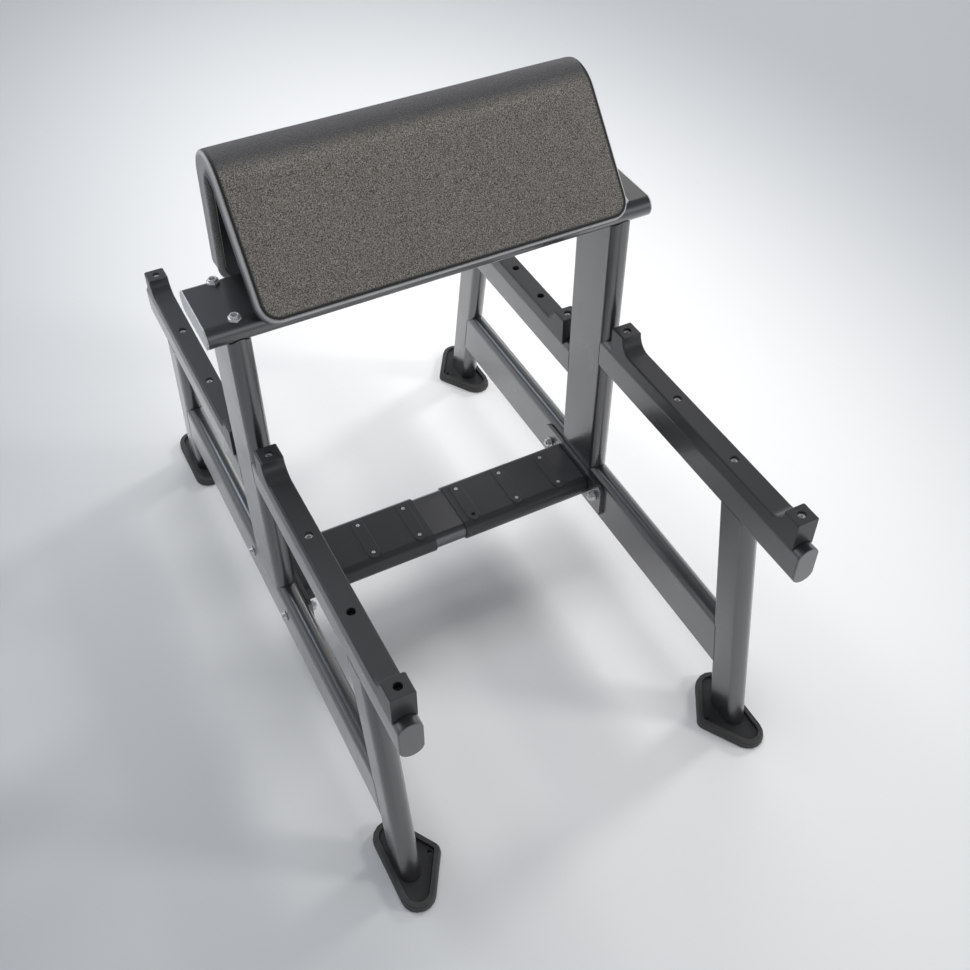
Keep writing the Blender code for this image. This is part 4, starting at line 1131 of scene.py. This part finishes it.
def floor_material(near, far):
    """A seamless floor with a painted pool of light: palest round its middle, and darker and cooler
    further out as painted shade.
    """
    recipe = Recipe("studio_floor", near, 0.8)
    mapping = recipe.add("ShaderNodeMapping")
    (x, y), (reach_x, reach_y) = FLOOR_LIGHT_POOL_MIDDLE, FLOOR_LIGHT_POOL_REACH
    start = (-x / reach_x, -y / reach_y, 0)
    fill_in(mapping, {"Location": start, "Scale": (1 / reach_x, 1 / reach_y, 0)})
    recipe.join(recipe.point, mapping.inputs["Vector"])
    distance = recipe.add("ShaderNodeVectorMath", operation="LENGTH")
    recipe.join(mapping.outputs["Vector"], distance.inputs[0])
    share = recipe.span(distance.outputs["Value"], 0, 1, soft=True)
    recipe.join(recipe.blend(share, near, far), recipe.shader.inputs["Base Color"])
    return recipe.material


def studio_world():
    """A studio with pale walls and a dark ceiling."""
    world = bpy.data.worlds.new("studio_world")
    world.use_nodes = True
    tree = world.node_tree
    direction = tree.nodes.new("ShaderNodeTexCoord").outputs["Generated"]
    parts = tree.nodes.new("ShaderNodeSeparateXYZ")
    ramp = tree.nodes.new("ShaderNodeValToRGB")
    for stop, (slope, colour) in zip(ramp.color_ramp.elements, STUDIO):
        stop.position = slope
        stop.color = (*colour, 1)
    tree.links.new(direction, parts.inputs["Vector"])
    tree.links.new(parts.outputs["Z"], ramp.inputs["Fac"])
    tree.links.new(ramp.outputs["Color"], tree.nodes["Background"].inputs["Color"])
    return world


class BENCH_OT_stage(bpy.types.Operator):
    """Set up the floor, the lights, the world and the camera"""

    bl_idname = "bench.stage"
    bl_label = "Stage"

    def execute(self, context):
        scene = context.scene
        clear_selection()
        bpy.ops.mesh.primitive_plane_add(size=FLOOR_SIZE, location=(0, 0, -FLOOR_DROP))
        floor = context.object
        floor.name = "studio_floor"
        settle(floor)
        colours = scene.bench_finishes
        floor.data.materials.append(floor_material(tuple(colours.floor), tuple(colours.floor_far_shade)))

        for lights, glossy in ((LIGHTS, False), (GLEAMS, True)):
            for light in lights:
                add_area_light(*light, glossy)
        scene.world = studio_world()

        camera = new_object("camera", bpy.data.cameras.new("camera"))
        camera.data.lens = CAMERA_LENS
        camera.data.sensor_width = CAMERA_SENSOR
        camera.data.sensor_fit = "HORIZONTAL"
        camera.location = CAMERA_PLACE
        camera.rotation_euler = (CAMERA_TILT, 0, CAMERA_TURN)
        scene.camera = camera
        scene.view_settings.view_transform = "Standard"
        return {"FINISHED"}


# Panel and registration

class BENCH_PT_panel(bpy.types.Panel):
    """The bench's settings and steps"""

    bl_label = "Preacher Bench"
    bl_idname = "BENCH_PT_panel"
    bl_space_type = "VIEW_3D"
    bl_region_type = "UI"
    bl_category = "Bench"

    def draw(self, context):
        for name, kind in SETTINGS.items():
            box = self.layout.box()
            for key in kind.__annotations__:
                box.prop(getattr(context.scene, name), key)
        for operator in OPERATORS:
            self.layout.operator(operator.bl_idname)


OPERATORS = (
    BENCH_OT_finishes,
    BENCH_OT_rounded_edges,
    BENCH_OT_arm_pad,
    BENCH_OT_shadow_lines,
    BENCH_OT_bolts,
    BENCH_OT_nuts,
    BENCH_OT_rack_screws,
    BENCH_OT_brace_screws,
    BENCH_OT_stage,
)
SETTINGS = {
    "bench_finishes": BenchFinishes,
    "bench_edges": EdgeSizes,
    "bench_pad": PadSizes,
    "bench_fasteners": FastenerSizes,
}
CLASSES = (*SETTINGS.values(), *OPERATORS, BENCH_PT_panel)


def register():
    for entry in CLASSES:
        bpy.utils.register_class(entry)
    for name, group in SETTINGS.items():
        setattr(bpy.types.Scene, name, PointerProperty(type=group))


def unregister():
    for name in SETTINGS:
        delattr(bpy.types.Scene, name)
    for entry in reversed(CLASSES):
        bpy.utils.unregister_class(entry)


def main():
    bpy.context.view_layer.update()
    register()
    bpy.ops.bench.finishes()
    bpy.ops.bench.rounded_edges()
    bpy.ops.bench.arm_pad()
    bpy.ops.bench.seams()
    bpy.ops.bench.bolts()
    bpy.ops.bench.nuts()
    bpy.ops.bench.rack_screws()
    bpy.ops.bench.brace_screws()
    bpy.ops.bench.stage()
    clear_selection()


if __name__ == "__main__":
    main()
